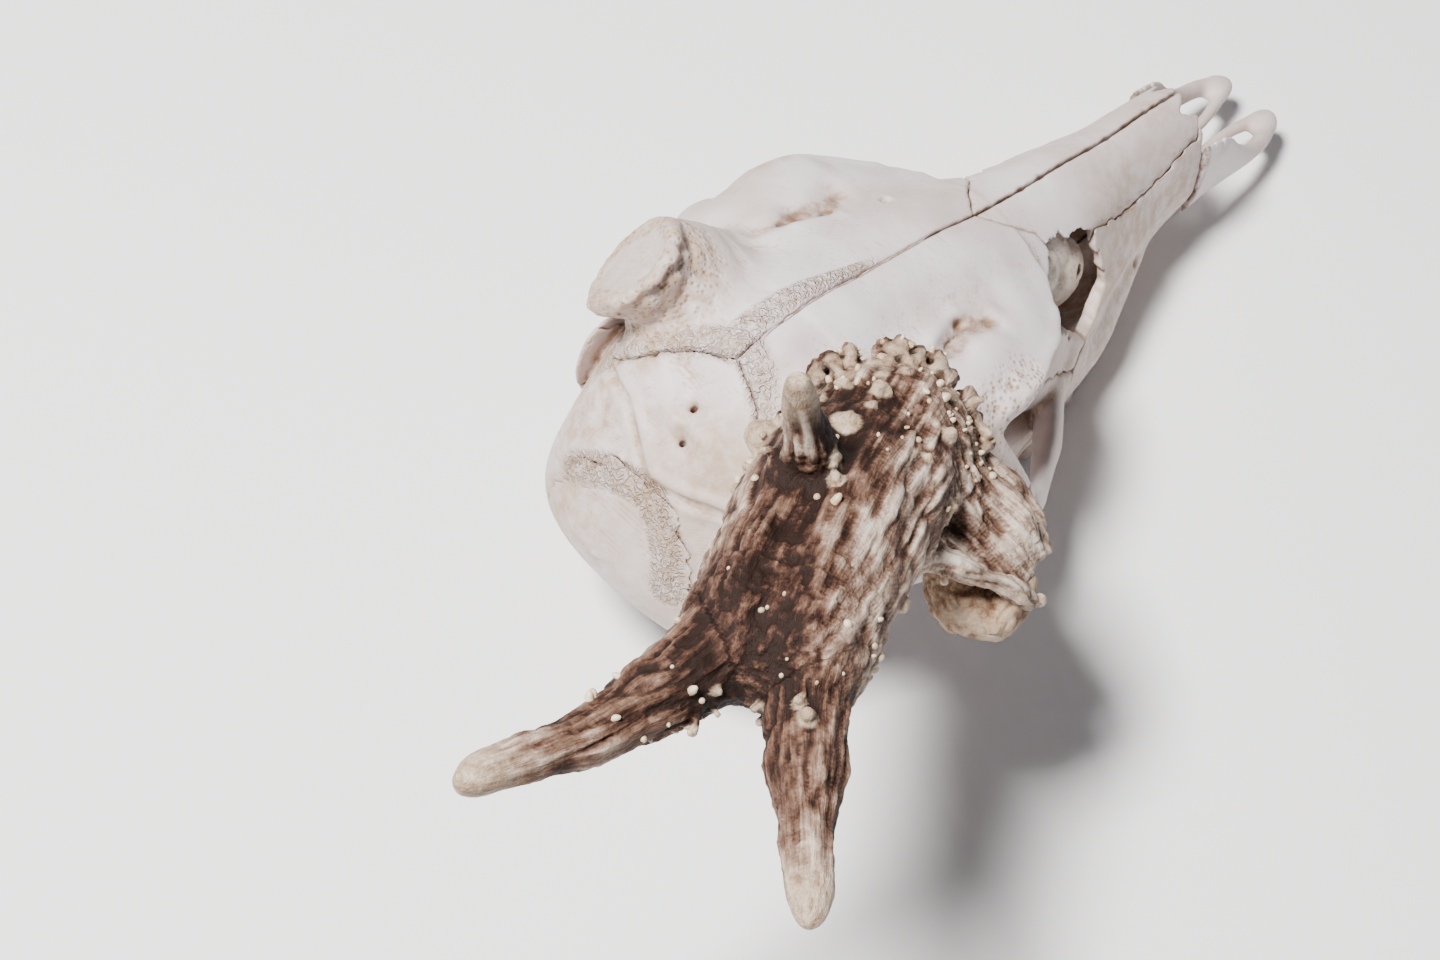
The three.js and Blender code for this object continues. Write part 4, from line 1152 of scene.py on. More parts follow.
def grain_relief(points):
    """Fine lumps of the bone's surface, rougher on the pedicles' necks and the right orbit's rim."""
    from_seal = np.linalg.norm(points - SEAL_CENTRE, axis=1)
    from_burr = np.linalg.norm(points - BURR_CENTRE, axis=1)
    rim = line_distance(RIGHT_RIM, *points.T)
    rough = np.maximum(1 - fade(np.minimum(from_seal, from_burr), 13, 20), 1 - fade(rim, 2, 6))
    face = 1 - fade(np.abs((points - SEAL_CENTRE) @ SEAL_NORMAL), SEAL_DEPTH, 2 * SEAL_DEPTH)
    coarse = 0.45 * lattice(points, 2.6, 5) + 0.25 * lattice(points, 1.4, 6)
    calm = 0.3 * lattice(points, 11, 15) + 0.16 * lattice(points, 5, 1) + 0.05 * lattice(points, 2.2, 2)
    return calm + rough * (1 - 0.6 * face) * coarse


skull.roughen(grain_relief, RELIEF_REACH)
allowed = [np.array(corner) / MM - SKULL_ZERO for corner in cad_box]
inside_box = box_region(*skull.places(), allowed[0] + BOX_MARGIN, allowed[1] - BOX_MARGIN)
skull.field = soft_most(skull.field, inside_box, BOX_ROUNDING).astype(np.float32)
crowding = occupied(skull.field, SKULL_STEP, CROWD_REACH)
print("crowding, greatest:", round(float(crowding.max()), 2))

# %% Raise the welts of the two frontals
WELT_HEIGHT = 1.0
rest = skull.field
welted = {}
for side in (1, -1):
    welted[side] = rest.copy()
    cut, spot = skull.window((-187, -30, 66), (-128, 30, 90))
    welted[side][cut] -= (WELT_HEIGHT * welt_at(side, *spot)).astype(np.float32)
print("welts raised, mm:", WELT_HEIGHT)

# %% Carve the bones
ORDER = [("nasal", 1), ("nasal", -1), ("frontal", 1), ("frontal", -1), ("occipital", 0), ("parietal", 0),
         ("temporal", 1), ("temporal", -1), ("jugal", 1), ("jugal", -1), ("lacrimal", 1), ("lacrimal", -1),
         ("palatine", 0), ("maxilla", 1), ("maxilla", -1), ("sphenoid", 0)]
SIDE_NAME = {1: "_left", -1: "_right", 0: ""}
OPEN_SEAM = SUTURE_GAP / 3  # half width of a seam that has opened, as round the nasals
SHUT_SEAM = 0.04  # half width of a seam that is grown together
SEAM_ROUNDING = 0.5
taken = np.full(rest.shape, FAR, dtype=np.float32)
for bone_name, side in ORDER:
    name = bone_name + SIDE_NAME[side]
    clay = welted[side] if bone_name == "frontal" else rest
    gap = OPEN_SEAM if bone_name == "nasal" else SHUT_SEAM
    if bone_name == "sphenoid":
        space = -taken
    else:
        space = region(bone_name, side or 1, x, y, z)
        if bone_name == "maxilla":
            space = np.maximum(space, crack_distance(x, y, z) + SUTURE_GAP / 2)
    piece = soft_most(soft_most(clay, space + gap, SEAM_ROUNDING), -taken, SEAM_ROUNDING)
    points, quads = largest_lump(*skin(piece, skull.low, SKULL_STEP))
    edge = np.minimum(np.abs(sample(space, skull, points)), np.abs(sample(taken, skull, points)))
    seam = (1 - fade(edge, 0.05, 0.5)) * seam_strength(points)
    make_piece("bone_" + name, points, quads, bone_numbers(points, seam), bone, name)
    taken = np.minimum(taken, space - gap)

# %% [markdown]
# ### Premaxillae
#
# In front, two slender forks carry the upper lip. Each has an outer arm and a thin inner rod that meet at
# the tip and leave a long hole between them. They are too thin for the coarse clay, so they get a finer
# block of their own.

# %% Press and mesh the premaxillae
PREMAXILLA_BODY = [
    [-42, 10.2, 26, 11, 1.5],
    [-34, 10.3, 24.6, 9.6, 1.5],
    [-26, 10.4, 19.6, 6, 1.6],
    [-17, 10.6, 14.6, 3, 1.7],
    [-9, 9.8, 11.8, 2.2, 1.9],
    [-4.4, 7.8, 10.8, 2.0, 2.3],
]
PREMAXILLA_ROD = [[-44, 2.4, 15, 1.6, 1.2], [-30, 2.5, 13.6, 1.4, 1.15], [-16, 2.8, 12.2, 1.4, 1.2],
                  [-8, 4.2, 11.2, 1.6, 1.4], [-5, 5.4, 11, 1.8, 1.5]]
SNOUT_LEAN = 1.5  # how far the tips of the snout stand to the animal's left
MIDLINE_GAP = 0.45  # what each premaxilla keeps to the mid-line
FORK_STEP = 0.4


def leaning(rows, side):
    """A table of the left fork on either side, with its tip bent to the animal's left."""
    bent = []
    for px, py, *others in rows:
        bent.append([px, py * side + SNOUT_LEAN * float(fade(np.array(px), -40, 0)), *others])
    return bent


for side in (1, -1):
    name = "premaxilla" + SIDE_NAME[side]
    fork = Clay((-46, -14, 6), (1, 14, 40), FORK_STEP)
    fork.add(sweep(leaning(PREMAXILLA_BODY, side)))
    fork.add(sweep(leaning(PREMAXILLA_ROD, side)), 0.8)
    tip = leaning([[-4.4, 6.6, 10.9, 0, 0]], side)[0]
    fork.add(ball(tip[:3], (3.9, 3.0, 2.2)), 1.2)
    fx, fy, fz = fork.places()
    behind_crack = SUTURE_GAP / 2 - crack_distance(fx, fy, fz)
    fork.field = np.maximum(np.maximum(fork.field, behind_crack), MIDLINE_GAP - fy * side)
    points, quads = largest_lump(*skin(fork.field, fork.low, fork.step))
    crack_edge = 1 - fade(np.abs((points - CRACK_POINT) @ CRACK_NORMAL), 0.6, 1.6)
    numbers = {"shade_and_dirt": 0.25 * fade(lattice(points, 4, 8), 0.3, 0.9), "seam": crack_edge,
               "stain_and_shade": 0.15 + 0.25 * fade(points[:, 0], -30, -12), "rough": 0.6 * crack_edge}
    make_piece("bone_" + name, points, quads, numbers, bone, name)

# %% [markdown]
# ### Turbinates
#
# Through the openings in front of the orbits the turbinates show: paper-thin scrolls of bone that warmed
# the breath. They are broken and ragged in an old skull. Each is made of three curled shells, cut short by a
# wandering edge.

# %% Press and mesh the turbinates
SHELLS = [((-92, 7.0, 42), (9.6, 6.6, 11)), ((-88, 9.0, 38), (8.6, 6.2, 8.6)),
          ((-96, 9.4, 46), (7.4, 5.4, 8.0))]
SHELL_HALF = 0.42  # half the thickness of a shell
SHELL_STEP = 0.35
for side in (1, -1):
    name = "turbinate" + SIDE_NAME[side]
    scroll = Clay((-104, 1 if side > 0 else -20, 27), (-75, 20 if side > 0 else -1, 58), SHELL_STEP)
    sx, sy, sz = scroll.places()
    for number, (centre, radii) in enumerate(SHELLS):
        middle = (centre[0], centre[1] * side, centre[2])
        sheet = np.abs(ball(middle, radii)[2](sx, sy, sz)) - SHELL_HALF
        torn = 4.5 * waves(31 + number, 9, sx, sy, sz) + 1.6 * waves(41 + number, 3.2, sx, sy, sz)
        sheet = np.maximum(sheet, sx - centre[0] - 7 + torn)
        scroll.field = soft_least(scroll.field, sheet, 0.5)
    box_low, box_high = (np.array(corner) / MM - SKULL_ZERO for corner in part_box(name))
    scroll.field = np.maximum(scroll.field, box_region(sx, sy, sz, box_low, box_high)).astype(np.float32)
    points, quads = largest_lump(*skin(scroll.field, scroll.low, scroll.step))
    # Random dark patches in the crevice colour: painted shade in pockets of the scrolls.
    numbers = {"shade_and_dirt": fade(lattice(points, 4, 5), 0.1, 0.9) * 0.7, "stain_and_shade": np.full(len(points), 0.4),
               "rough": np.full(len(points), 0.4)}
    make_piece("nose_" + name, points, quads, numbers, thin_bone, name)

# %% [markdown]
# ## The antler
#
# The deformed antler has one broad, flattened beam. A burr of pearls rings its foot, a short tine stands up
# in front, and two long tines fork away behind. Its furrows are the tracks of the blood vessels that fed it
# while it grew, so they run along each tine. The furrow noise is therefore worked out in each tine's own
# coordinates, long along it and short across it. The antler is one bone, so one skin covers its tines.

# %% Caliper tables of the antler
BEAM = [
    [-173, -35, 94, 15, 15],
    [-182, -38.8, 101.5, 17, 15.4],
    [-196, -44.2, 110, 17, 14],
    [-211, -51.5, 117, 16.4, 12],
    [-222, -56.5, 121.5, 14, 10.2],
]
REAR_TINE = [
    [-217, -50.8, 119.5, 10, 10],
    [-238.1, -53, 124.6, 7.1, 7.1],
    [-246.8, -52.2, 127, 6.0, 6.0],
    [-258.5, -51.2, 130.4, 4.7, 4.7],
    [-268.4, -49.2, 134, 3.8, 3.8],
    [-276.0, -47.7, 137.4, 3.3, 3.3],
    [-278.6, -47.3, 138.4, 2.5, 2.5],
]
SIDE_TINE = [
    [-219, -60.8, 121, 9.8, 9.4],
    [-229, -70, 124, 7.1, 7.1],
    [-240.4, -80.6, 127, 5.4, 5.4],
    [-249, -89.2, 129, 4.1, 4.1],
    [-253.6, -93.8, 130.3, 3.2, 3.2],
    [-255.2, -95.2, 130.8, 2.3, 2.3],
]
FRONT_TINE = [
    [-189, -38.5, 107, 8.0, 8.0],
    [-194.2, -38, 118, 5.4, 5.4],
    [-195.9, -36.6, 131, 3.9, 3.9],
    [-197.2, -35.6, 141, 3.1, 3.1],
    [-197.6, -35.2, 145.4, 2.3, 2.3],
]
LOBE = [
    [-171, -44, 96, 12, 7],
    [-169.6, -52, 94, 11, 4.4],
    [-168, -60, 90, 9, 3.2],
    [-167, -65, 85, 7, 2.4],
]
LOBE_RIM = [
    [-192, -54, 106, 2.6, 2.6],
    [-184, -57, 100.5, 2.6, 2.6],
    [-178.5, -62.5, 95.5, 2.3, 2.3],
    [-173.5, -67, 89.5, 2.2, 2.2],
    [-169.5, -70, 83.5, 1.9, 1.9],
]
LOBE_BACK = [
    [-160, -46, 92, 2.4, 2.4],
    [-156.8, -52.5, 88, 2.2, 2.2],
    [-155.6, -57.5, 83.5, 2.0, 2.0],
    [-159, -64, 82, 2.0, 2.0],
]
PALM_WIDE = (-0.5, 0.85, -0.1)
LOBE_ROOT = np.array([-165, -49.5, 94])
LOBE_OUTWARD = np.array([0.1, -0.95, -0.2]) / np.linalg.norm([0.1, -0.95, -0.2])
TINES = (BEAM, REAR_TINE, SIDE_TINE, FRONT_TINE, LOBE, LOBE_RIM)
print("antler tables:", len(TINES) + 1)

# %% Press the antler
ANTLER_STEP = 0.48
ANTLER_CROWD_REACH = 4.0
horn = Clay((-283, -99, 68), (-150, -12, 150), ANTLER_STEP)
horn.add(sweep(BEAM, PALM_WIDE))
burr = [[*(BURR_CENTRE - 1.0 * BURR_NORMAL), 15.6, 15.2], [*(BURR_CENTRE + 2.6 * BURR_NORMAL), 15.9, 15.5]]
horn.add(sweep(burr, (1, 0, 0), parts=1), 4)
horn.add(sweep(REAR_TINE), 6)
horn.add(sweep(SIDE_TINE), 6)
horn.add(sweep(FRONT_TINE), 5)
horn.add(sweep(LOBE, (1, 0, 0)), 3)
horn.add(sweep(LOBE_RIM), 2.5)
horn.add(sweep(LOBE_BACK), 2)
# Two broad ribs run along the beam with a channel between them. Its right side and the lobe are channelled.
for line, width, height in (
    ([(-186, -44, 117), (-205, -53, 125), (-222, -62, 129)], 4.0, 1.2),
    ([(-184, -32, 114), (-202, -38, 120), (-224, -50, 128)], 3.5, 1.0),
    ([(-187, -38, 117), (-206, -45, 125), (-225, -56, 130)], 3.6, -1.4),
    ([(-172, -40, 110), (-180, -48, 113), (-196, -57, 118)], 3.0, -1.0),
    ([(-162, -50, 96), (-166, -58, 93)], 3.4, -1.8),
):
    horn.swell(line, width, height)
horn.field -= (0.5 * waves(51, 16, *horn.places())).astype(np.float32)
print("antler clay:", horn.field.shape, "cubes")

# %% Press the coronet, a ring of short curled fingers
chance = np.random.default_rng(11)
first, second = ring_frame(BURR_NORMAL)
CORONET_FINGERS = 29


def press_finger(angle, foot, length, size, lift):
    """A finger that grows out from the burr and curls up at its end."""
    out = math.cos(angle) * first + 0.97 * math.sin(angle) * second
    turn = chance.uniform(-0.5, 0.5) * (math.cos(angle) * second - math.sin(angle) * first)
    base = BURR_CENTRE + foot * out + lift * BURR_NORMAL
    knee = base + length * out + (0.3 * length + 0.5) * BURR_NORMAL + turn
    end = knee - 0.9 * out + size * 1.3 * BURR_NORMAL + 2.2 * turn
    rows = [[*base, size * 0.85, size * 0.85], [*knee, size * 1.05, size * 1.05],
            [*end, size * 0.8, size * 0.8]]
    horn.add(sweep(rows, parts=3), 0.3)
    return end


finger_ends = []
for i in range(CORONET_FINGERS):
    angle = 2 * math.pi * i / CORONET_FINGERS + chance.uniform(-0.07, 0.07)
    length, size = chance.uniform(2.0, 3.4), chance.uniform(1.6, 2.1)
    finger_ends.append(press_finger(angle, 15.2, length, size, 1.9))
    length, size, lift = chance.uniform(0.6, 1.6), chance.uniform(1.2, 1.7), chance.uniform(4.4, 6)
    finger_ends.append(press_finger(angle + 0.1, 14.0, length, size, lift))
print("coronet fingers:", len(finger_ends))

# %% Press the flakes, the knobs and the large pearls
FLAKES = [((-187.2, -21.0, 99), (3.4, 4.4, 3.8)), ((-192, -23.5, 98), (2.6, 2.4, 2.6)),
          ((-206.5, -33.5, 110.5), (2.2, 2.0, 2.0)), ((-183.5, -35.0, 117.4), (2.4, 2.0, 1.6))]
KNOBS = [((-154.8, -56.4, 83), 1.9), ((-156.4, -60.2, 82.4), 1.7), ((-159.4, -64, 82), 1.6),
         ((-167.4, -70.8, 82), 1.5), ((-172.2, -69.6, 87.6), 1.4), ((-181, -61.8, 98.6), 1.3)]
for spot, radii in FLAKES:
    horn.add(ball(spot, radii), 0.8)
for spot, size in KNOBS:
    horn.add(ball(spot, (size, size, size)), 0.9)
tips = np.array([rows[-1][:3] for rows in (REAR_TINE, SIDE_TINE, FRONT_TINE)])


def distance_to_tips(points):
    """Distance of each point to the nearest tip of a tine."""
    return np.min([np.linalg.norm(points - tip, axis=1) for tip in tips], axis=0)


def pearl_chance(points):
    """How thickly pearls stand at points on the antler, 0 to 1."""
    from_burr = np.linalg.norm(points - BURR_CENTRE, axis=1)
    edge = fade(np.abs((points[:, 0] + 205) * 0.5 + (points[:, 1] + 49) * 0.86), 6, 14)
    crowd = 0.15 + 1.2 * (1 - fade(from_burr, 16, 33)) + 0.5 * edge
    return crowd * fade(distance_to_tips(points), 16, 34) * (points[:, 2] > 96)


near = np.stack(np.nonzero(np.abs(horn.field) < ANTLER_STEP * 0.5), 1)
spots = horn.low + near * ANTLER_STEP
odds = pearl_chance(spots)
LARGE_PEARLS = 60
pearl_spots = []
for i in chance.choice(len(spots), LARGE_PEARLS, replace=False, p=odds / odds.sum()):
    out = np.array([horn.field[tuple(near[i] + way)] - horn.field[tuple(near[i] - way)]
                    for way in np.eye(3, dtype=int)])
    out /= max(np.linalg.norm(out), 1e-6)
    size = chance.uniform(0.7, 1.0) + 0.7 * chance.uniform() ** 3
    lean = chance.normal(size=3) * 0.7 + np.array([-0.5, -0.4, 0.2])
    end = spots[i] + size * (0.5 * out + lean)
    pearl_spots.append((spots[i], end, size))
for spot, end, size in pearl_spots:
    horn.add(sweep([[*spot, size * 0.7, size * 0.7], [*end, size, size]], parts=1), 0.4)
horn.cut(beyond(BURR_CENTRE + 0.15 * BURR_NORMAL, -BURR_NORMAL))
antler_crowding = occupied(horn.field, ANTLER_STEP, ANTLER_CROWD_REACH)
print("large pearls:", len(pearl_spots))


# %% Coordinates along a tine
def along_tine(points, rows):
    """Distance along a tine, two distances across it, and how far outside its surface each point lies."""
    fine = smooth_rows(rows, 4)
    best = np.full(len(points), 1e9)
    along, across = np.zeros(len(points)), np.zeros((len(points), 3))
    travelled = 0
    for start, end in zip(fine[:-1], fine[1:]):
        way = end[:3] - start[:3]
        length = np.linalg.norm(way)
        t = np.clip((points - start[:3]) @ way / length**2, 0, 1)
        offset = points - start[:3] - t[:, None] * way
        out = np.linalg.norm(offset, axis=1) - (start[3] + t * (end[3] - start[3]))
        closer = out < best
        best[closer] = out[closer]
        along[closer] = travelled + t[closer] * length
        across[closer] = offset[closer]
        travelled += length
    ahead = fine[-1, :3] - fine[0, :3]
    ahead /= np.linalg.norm(ahead)
    first = np.cross(ahead, (0.2, 0.1, 1.0))
    first /= np.linalg.norm(first)
    second = np.cross(ahead, first)
    return np.stack([along, across @ first, across @ second], 1), best


def furrows(points):
    """Height of the ridges, blended at the forks, fine streaks, and each point's place along its own tine."""
    height, streak, weights = np.zeros((3, len(points)))
    closest, grain = np.full(len(points), 99.0), np.zeros((len(points), 3))
    for seed, rows in enumerate(TINES):
        local, out = along_tine(points, rows)
        near = out < 9
        spots = local[near]
        best = near & (out < closest)
        closest[best] = out[best]
        grain[best] = local[best] + 30 * seed
        sway = lattice(spots, (14, 8, 8), seed + 40)[:, None] * (0, 1.8, 1.8)
        broad = np.abs(lattice(spots + sway, (21, 3.2, 3.2), seed + 10))
        narrow = np.abs(lattice(spots + sway, (12, 1.6, 1.6), seed + 20))
        fine = lattice(spots + sway, (7, 0.8, 0.8), seed + 30)
        weight = np.exp(-np.maximum(out[near] + 3, 0) / 1.6)
        height[near] += weight * (1.0 * broad + 1.7 * narrow - 0.8)
        streak[near] += weight * fine
        weights[near] += weight
    weights = np.maximum(weights, 1e-9)
    return height / weights, streak / weights, grain


# %% Helpers for the skin of the antler
def outward(points, quads):
    """The direction of the surface at each vertex."""
    corners = points[quads]
    face = np.cross(corners[:, 2] - corners[:, 0], corners[:, 3] - corners[:, 1])
    total = np.stack([np.bincount(quads.ravel(), np.repeat(face[:, k], 4), len(points)) for k in range(3)], 1)
    return total / np.linalg.norm(total, axis=1)[:, None]


def near_any(points, balls, spread):
    """1 within the balls of centre and size, fading to 0 at spread times the size."""
    found = np.zeros(len(points))
    for centre, size in balls:
        close = np.nonzero(np.abs(points - centre).max(1) < spread * size)[0]
        reach = np.linalg.norm(points[close] - centre, axis=1)
        found[close] = np.maximum(found[close], 1 - fade(reach, size, spread * size))
    return found


# %% Lay the skin over the antler and cut the furrows into it
points, quads = largest_lump(*skin(horn.field, horn.low, ANTLER_STEP))
tip_near = 1 - fade(distance_to_tips(points), 3, 12)
pearl_near = near_any(points, [(end, size * 1.1) for _, end, size in pearl_spots], 1.4)
finger_near = near_any(points, [(end, 2.0) for end in finger_ends], 1.5)
flake_near = near_any(points, [(spot, max(radii)) for spot, radii in FLAKES] + KNOBS, 1.25)
calm = np.maximum.reduce([0.85 * tip_near, 0.9 * pearl_near, 0.55 * finger_near, 0.8 * flake_near])
height, streak, grain = furrows(points)
grit = lattice(points, 2.0, 63) + 0.5 * lattice(points, 0.9, 64)
relief = 0.62 * height + 0.2 * streak + 0.22 * grit
points += outward(points, quads) * (relief * (1 - calm) - 0.2)[:, None]
print("furrows, mm deep:", round(float(np.ptp(relief)), 1))

# %% Measure where the stain lies
# It is darkest in the fork, round the foot of the front tine and along the middle. The right side and the
# hood over the lobe are rubbed pale.
MIDDLE_LINE = [(-184, -36, 114), (-200, -43, 122), (-216, -52, 126), (-228, -58, 127)]
FRONT_FOOT = [(-188, -37, 113), (-196, -40, 122)]
FORK_LINE = [(-224, -57, 126), (-231, -61, 125)]
HOOD_LINE = [(-168, -50, 99), (-166, -62, 91)]


def near_line(line, start, end):
    """1 within start millimetres of a line, fading to 0 at end."""
    return 1 - fade(line_distance(line, *points.T), start, end)


crowd = fade(sample(antler_crowding, horn, points), 0.5, 0.72)
from_long = np.min([np.linalg.norm(points - tip, axis=1) for tip in tips[:2]], axis=0)
shaft = fade(from_long, 7, 18) * (1 - fade(from_long, 36, 52))
right_side = fade(0.402 * points[:, 0] - 0.916 * points[:, 1] + 37.5, 0, 8)
under = 1 - fade(points[:, 2], 92, 110)
hood = np.maximum(near_line(np.array(LOBE_RIM)[1:, :3], 3, 9), near_line(HOOD_LINE, 3, 8))
foot = 1 - fade(np.abs(np.linalg.norm(points - BURR_CENTRE, axis=1) - 20), 2, 7)
upright = near_line(np.array(FRONT_TINE)[1:, :3], 6, 9)
# Where the antler crowds round itself, the ridge level drops: painted shade in the fork and round the
# coronet.
ridge = 0.5 + 0.5 * height + 0.3 * streak - 0.8 * crowd + upright * (1.5 * height + 0.8 * streak - 0.2)
ivory = np.maximum.reduce([0.65 * tip_near, 0.8 * pearl_near, 0.65 * finger_near * (1 - crowd),
                           0.9 * flake_near])
dark = np.maximum.reduce([near_line(FRONT_FOOT, 6, 13), 0.6 * near_line(MIDDLE_LINE, 4, 13),
                          1.5 * near_line(FORK_LINE, 6, 17), 0.4 * shaft, 0.25 * under])
dark = dark + 0.5 * lattice(points, 12, 65) + 0.45 * lattice(points, 3.2, 66)
dark = dark - 0.6 * right_side * (1 - 0.7 * shaft)
dark = np.clip(dark - 0.7 * hood + 0.2 * foot, -0.7, 1.15)

# %% Finish the antler
numbers = {"ridge": np.clip(ridge, -0.7, 1.7), "ivory": ivory, "dark": dark, "grain": grain}
antler_points, antler_quads = points, quads
antler_piece = make_piece("antler_furrowed", points, quads, numbers, antler, "antler_beam")
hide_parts("antler_tine_rear", "antler_tine_side", "antler_tine_front")

# %% [markdown]
# ### The spongy core of the lobe
#
# Over the right temple the antler runs out into a lobe. A ridged hood of solid antler arches over a core of
# spongy bone that never hardened. The core is rough with pits at every size.

# %% Press the core under the hood
CORE = ball((-173.0, -61.4, 81.5), (10.4, 10.4, 7.6))
core = Clay((-188, -77, 70), (-158, -47, 94), 0.35)
core.add(CORE)


def sponge_relief(points):
    """Lumps and pits at three sizes."""
    pits = np.minimum(np.abs(lattice(points, 1.6, 73)), 0.3)
    return 0.8 * lattice(points, 4.2, 71) + 0.4 * lattice(points, 1.8, 72) + 1.6 * pits - 0.8


core.roughen(sponge_relief, 2.4)
core.field = np.maximum(core.field, 0.6 - along_plane(LOBE_ROOT, LOBE_OUTWARD, core.places()))
points, quads = largest_lump(*skin(core.field, core.low, core.step))
# How deep each point lies in the core, which the material paints as shade.
deep = np.clip(-CORE[2](*points.T) / 1.6, 0, 1)
make_piece("antler_spongy_core", points, quads, {"deep": deep}, spongy, "antler_lobe")

# %% [markdown]
# ### Pearls
#
# Pearls are small drops of hard antler, thick round the burr and thinner along the beam. There are many,
# so Geometry Nodes scatter them: points on the antler's skin where the density attribute allows, a drop on
# each point, turned to the surface, of random size and length.

# %% Build the pearl scatterer
PEARL_DENSITY = 50000.0  # pearls per square metre where the chance is 1
PEARL_SEGMENTS, PEARL_RINGS = 8, 6


def pearl_nodes():
    """A tree that scatters drops over a mesh, by its pearl attribute."""
    tree = bpy.data.node_groups.new("scatter_pearls", "GeometryNodeTree")
    face = tree.interface
    face.new_socket("Geometry", in_out="INPUT", socket_type="NodeSocketGeometry")
    for label, kind, value in (("Pearls per square metre", "NodeSocketFloat", PEARL_DENSITY),
                               ("Smallest radius", "NodeSocketFloat", 0.35 * MM),
                               ("Largest radius", "NodeSocketFloat", 0.85 * MM),
                               ("Longest drop", "NodeSocketFloat", 2.2),
                               ("Seed", "NodeSocketInt", 7),
                               ("Material", "NodeSocketMaterial", None)):
        socket = face.new_socket(label, in_out="INPUT", socket_type=kind)
        if value is not None:
            socket.default_value = value
    face.new_socket("Geometry", in_out="OUTPUT", socket_type="NodeSocketGeometry")
    given = tree.nodes.new("NodeGroupInput").outputs
    mask = add(tree, "GeometryNodeInputNamedAttribute", {"data_type": "FLOAT"}, {"Name": "pearl"})
    density = add(tree, "ShaderNodeMath", {"operation": "MULTIPLY"},
                  {0: mask.outputs["Attribute"], 1: given["Pearls per square metre"]})
    scatter = add(tree, "GeometryNodeDistributePointsOnFaces", {},
                  {"Mesh": given["Geometry"], "Density": density.outputs[0], "Seed": given["Seed"]})
    chance_size = add(tree, "FunctionNodeRandomValue", {}, {2: 0.0, 3: 1.0, "Seed": given["Seed"]})
    small = add(tree, "ShaderNodeMath", {"operation": "POWER"}, {0: chance_size.outputs[1], 1: 2.2})
    radius = add(tree, "ShaderNodeMapRange", {}, {"Value": small.outputs[0],
                                                  "To Min": given["Smallest radius"],
                                                  "To Max": given["Largest radius"]})
    stretch = add(tree, "FunctionNodeRandomValue", {}, {2: 0.9, 3: given["Longest drop"], "Seed": 3})
    tall = add(tree, "ShaderNodeMath", {"operation": "MULTIPLY"},
               {0: radius.outputs["Result"], 1: stretch.outputs[1]})
    size = add(tree, "ShaderNodeCombineXYZ", {},
               {0: radius.outputs["Result"], 1: radius.outputs["Result"], 2: tall.outputs[0]})
    lean = add(tree, "FunctionNodeRandomValue", {"data_type": "FLOAT_VECTOR"},
               {0: (-0.5, -0.5, -0.3), 1: (0.9, 0.5, 0.6), "Seed": 5})
    way = add(tree, "ShaderNodeVectorMath", {"operation": "ADD"},
              {0: scatter.outputs["Normal"], 1: lean.outputs[0]})
    turn = add(tree, "FunctionNodeAlignRotationToVector", {"axis": "Z"}, {"Vector": way.outputs[0]})
    drop = add(tree, "GeometryNodeMeshUVSphere", {},
               {"Segments": PEARL_SEGMENTS, "Rings": PEARL_RINGS, "Radius": 1.0})
    copies = add(tree, "GeometryNodeInstanceOnPoints", {},
                 {"Points": scatter.outputs["Points"], "Instance": drop.outputs["Mesh"],
                  "Rotation": turn.outputs[0], "Scale": size.outputs[0]})
    solid = add(tree, "GeometryNodeRealizeInstances", {}, {"Geometry": copies.outputs[0]})
    smooth = add(tree, "GeometryNodeSetShadeSmooth", {}, {0: solid.outputs[0]})
    paint = add(tree, "GeometryNodeSetMaterial", {},
                {"Geometry": smooth.outputs[0], "Material": given["Material"]})
    add(tree, "NodeGroupOutput", {}, {0: paint.outputs[0]})
    return tree


# %% Scatter the pearls
clusters = fade(lattice(antler_points, 9, 81), 0.0, 0.6)
pearl_mask = pearl_chance(antler_points) * (0.2 + clusters) * (1 - calm)
holder = bpy.data.meshes.new("pearl_ground")
holder.from_pydata(((antler_points + SKULL_ZERO) * MM).tolist(), [], antler_quads.tolist())
holder.attributes.new("pearl", "FLOAT", "POINT").data.foreach_set("value", pearl_mask.astype(np.float32))
ground = bpy.data.objects.new("pearl_ground", holder)
bpy.context.collection.objects.link(ground)
scatterer = ground.modifiers.new("pearls", "NODES")
scatterer.node_group = pearl_nodes()
sockets = {item.name: item.identifier for item in scatterer.node_group.interface.items_tree
           if item.in_out == "INPUT"}
scatterer[sockets["Material"]] = pearl
scatterer[sockets["Pearls per square metre"]] = PEARL_DENSITY
evaluated = ground.evaluated_get(bpy.context.evaluated_depsgraph_get())
pearl_mesh = bpy.data.meshes.new_from_object(evaluated)
bpy.data.objects.remove(ground)
bpy.data.meshes.remove(holder)
pearls = bpy.data.objects.new("antler_pearls", pearl_mesh)
bpy.context.collection.objects.link(pearls)
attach(pearls, "root")
print("pearls:", len(pearl_mesh.vertices) // (PEARL_SEGMENTS * (PEARL_RINGS - 1) + 2))

# %% [markdown]
# ## Light, floor and camera
#
# A soft lamp stands nearly overhead, a little behind the skull and to its left. It models the forms and
# throws one broad, soft shadow. A weak fill from the other side keeps the shadows open.

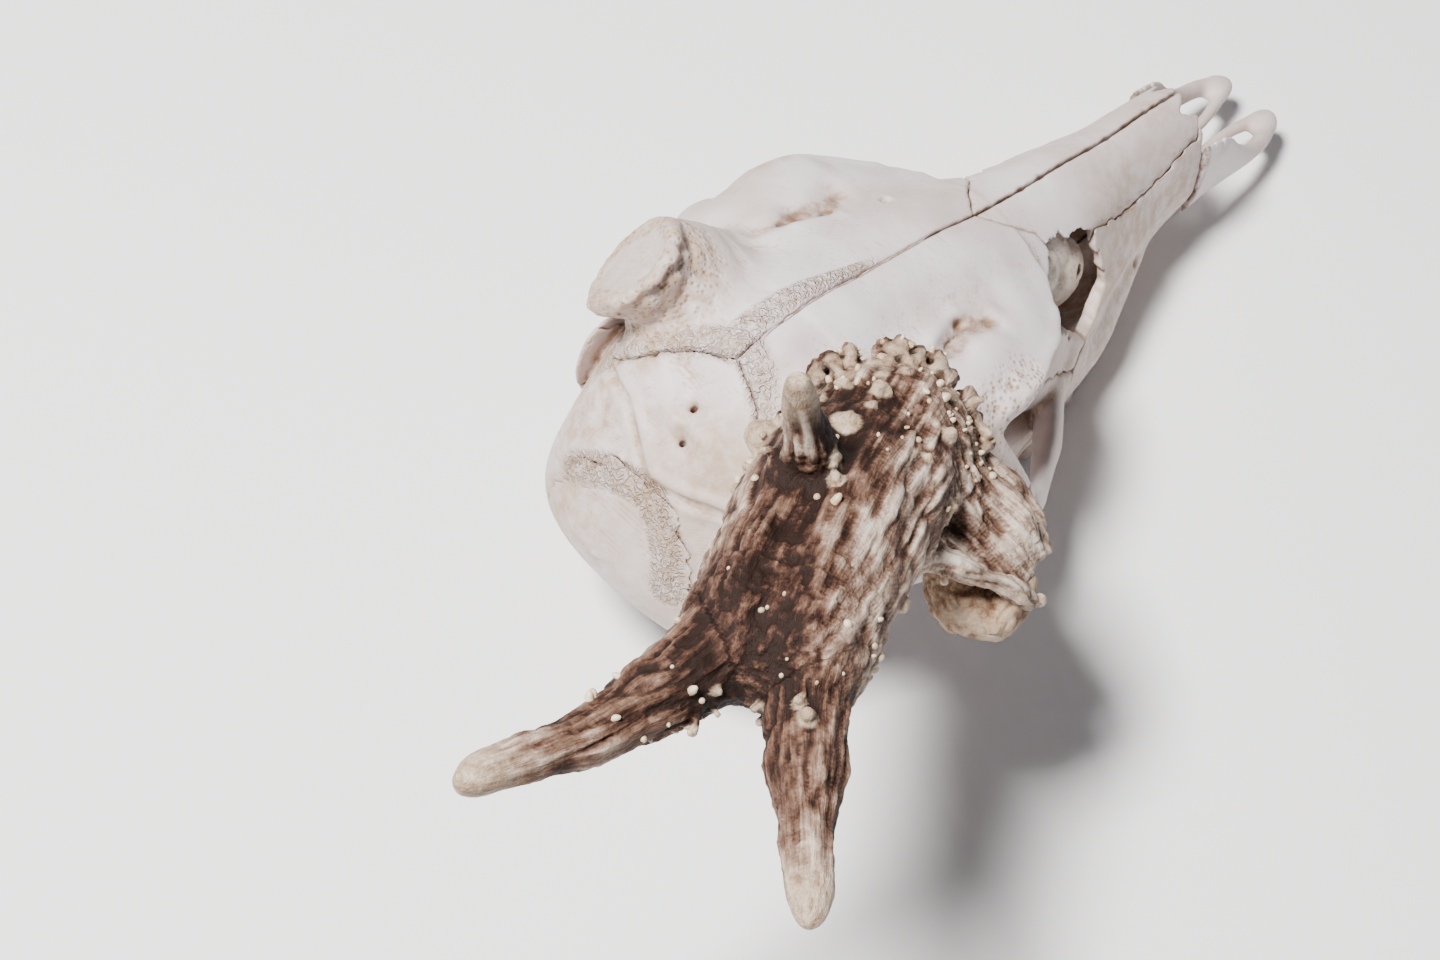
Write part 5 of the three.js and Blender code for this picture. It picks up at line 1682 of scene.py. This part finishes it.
# %% Camera
# It looks down on the skull from behind its right side, so that the antler comes towards the eye.
CAMERA_MM = np.array([-380.06, -182.19, 516.36])
CAMERA_RIGHT = Vector((0.7111, -0.7021, 0.0385))
CAMERA_DOWN = Vector((-0.5942, -0.6293, -0.5010))
CAMERA_AHEAD = Vector((0.3760, 0.3334, -0.8646))
camera_data = bpy.data.cameras.new("camera")
camera_data.lens = 69.95
camera_data.sensor_width = 36
camera = bpy.data.objects.new("camera", camera_data)
turned = Matrix((CAMERA_RIGHT, -CAMERA_DOWN, -CAMERA_AHEAD)).transposed().to_4x4()
camera.matrix_world = Matrix.Translation(Vector((CAMERA_MM + SKULL_ZERO) * MM)) @ turned
bpy.context.collection.objects.link(camera)
bpy.context.scene.camera = camera
print("camera, m:", [round(v, 3) for v in camera.matrix_world.translation])

# %% Floor
floor_mesh = bpy.data.meshes.new("floor")
FLOOR_HALF = 3  # half the side of the floor, in metres
corners = [(a * FLOOR_HALF, b * FLOOR_HALF, 0) for a, b in ((-1, -1), (1, -1), (1, 1), (-1, 1))]
floor_mesh.from_pydata(corners, [], [(0, 1, 2, 3)])
floor = bpy.data.objects.new("floor", floor_mesh)
bpy.context.collection.objects.link(floor)
paper, tree, shader, place = start_material("matte_paper")
shader.inputs["Base Color"].default_value = colour("#F6F6F7")
shader.inputs["Roughness"].default_value = 0.9
floor_mesh.materials.append(paper)
print("floor laid")


# %% Lamps
def lamp(name, toward, distance, size, power, tint):
    """A square area lamp in a direction from the middle of the skull, facing it."""
    data = bpy.data.lights.new(name, "AREA")
    data.size = size
    data.energy = power
    data.color = colour(tint)[:3]
    made = bpy.data.objects.new(name, data)
    middle = (cad_box[0] + cad_box[1]) / 2
    toward = Vector(toward).normalized()
    made.location = middle + toward * distance
    made.rotation_mode = "QUATERNION"
    made.rotation_quaternion = (-toward).to_track_quat("-Z", "Y")
    bpy.context.collection.objects.link(made)
    return made


lamp("window", (-0.374, 0.162, 1.0), 0.95, 0.2, 30.0, "#FFFCF8")
lamp("fill", (0.2, -0.7, 0.6), 1.4, 1.2, 0.5, "#F4F6FF")
world = bpy.data.worlds.new("studio")
bpy.context.scene.world = world
world.use_nodes = True
world.node_tree.nodes["Background"].inputs["Color"].default_value = colour("#E8EAF0")
world.node_tree.nodes["Background"].inputs["Strength"].default_value = 0.17
print("lamps and camera set")

# %% Print the solid model's box and finish
print("cad box mm:", [[round(v / MM, 1) for v in corner] for corner in cad_box])
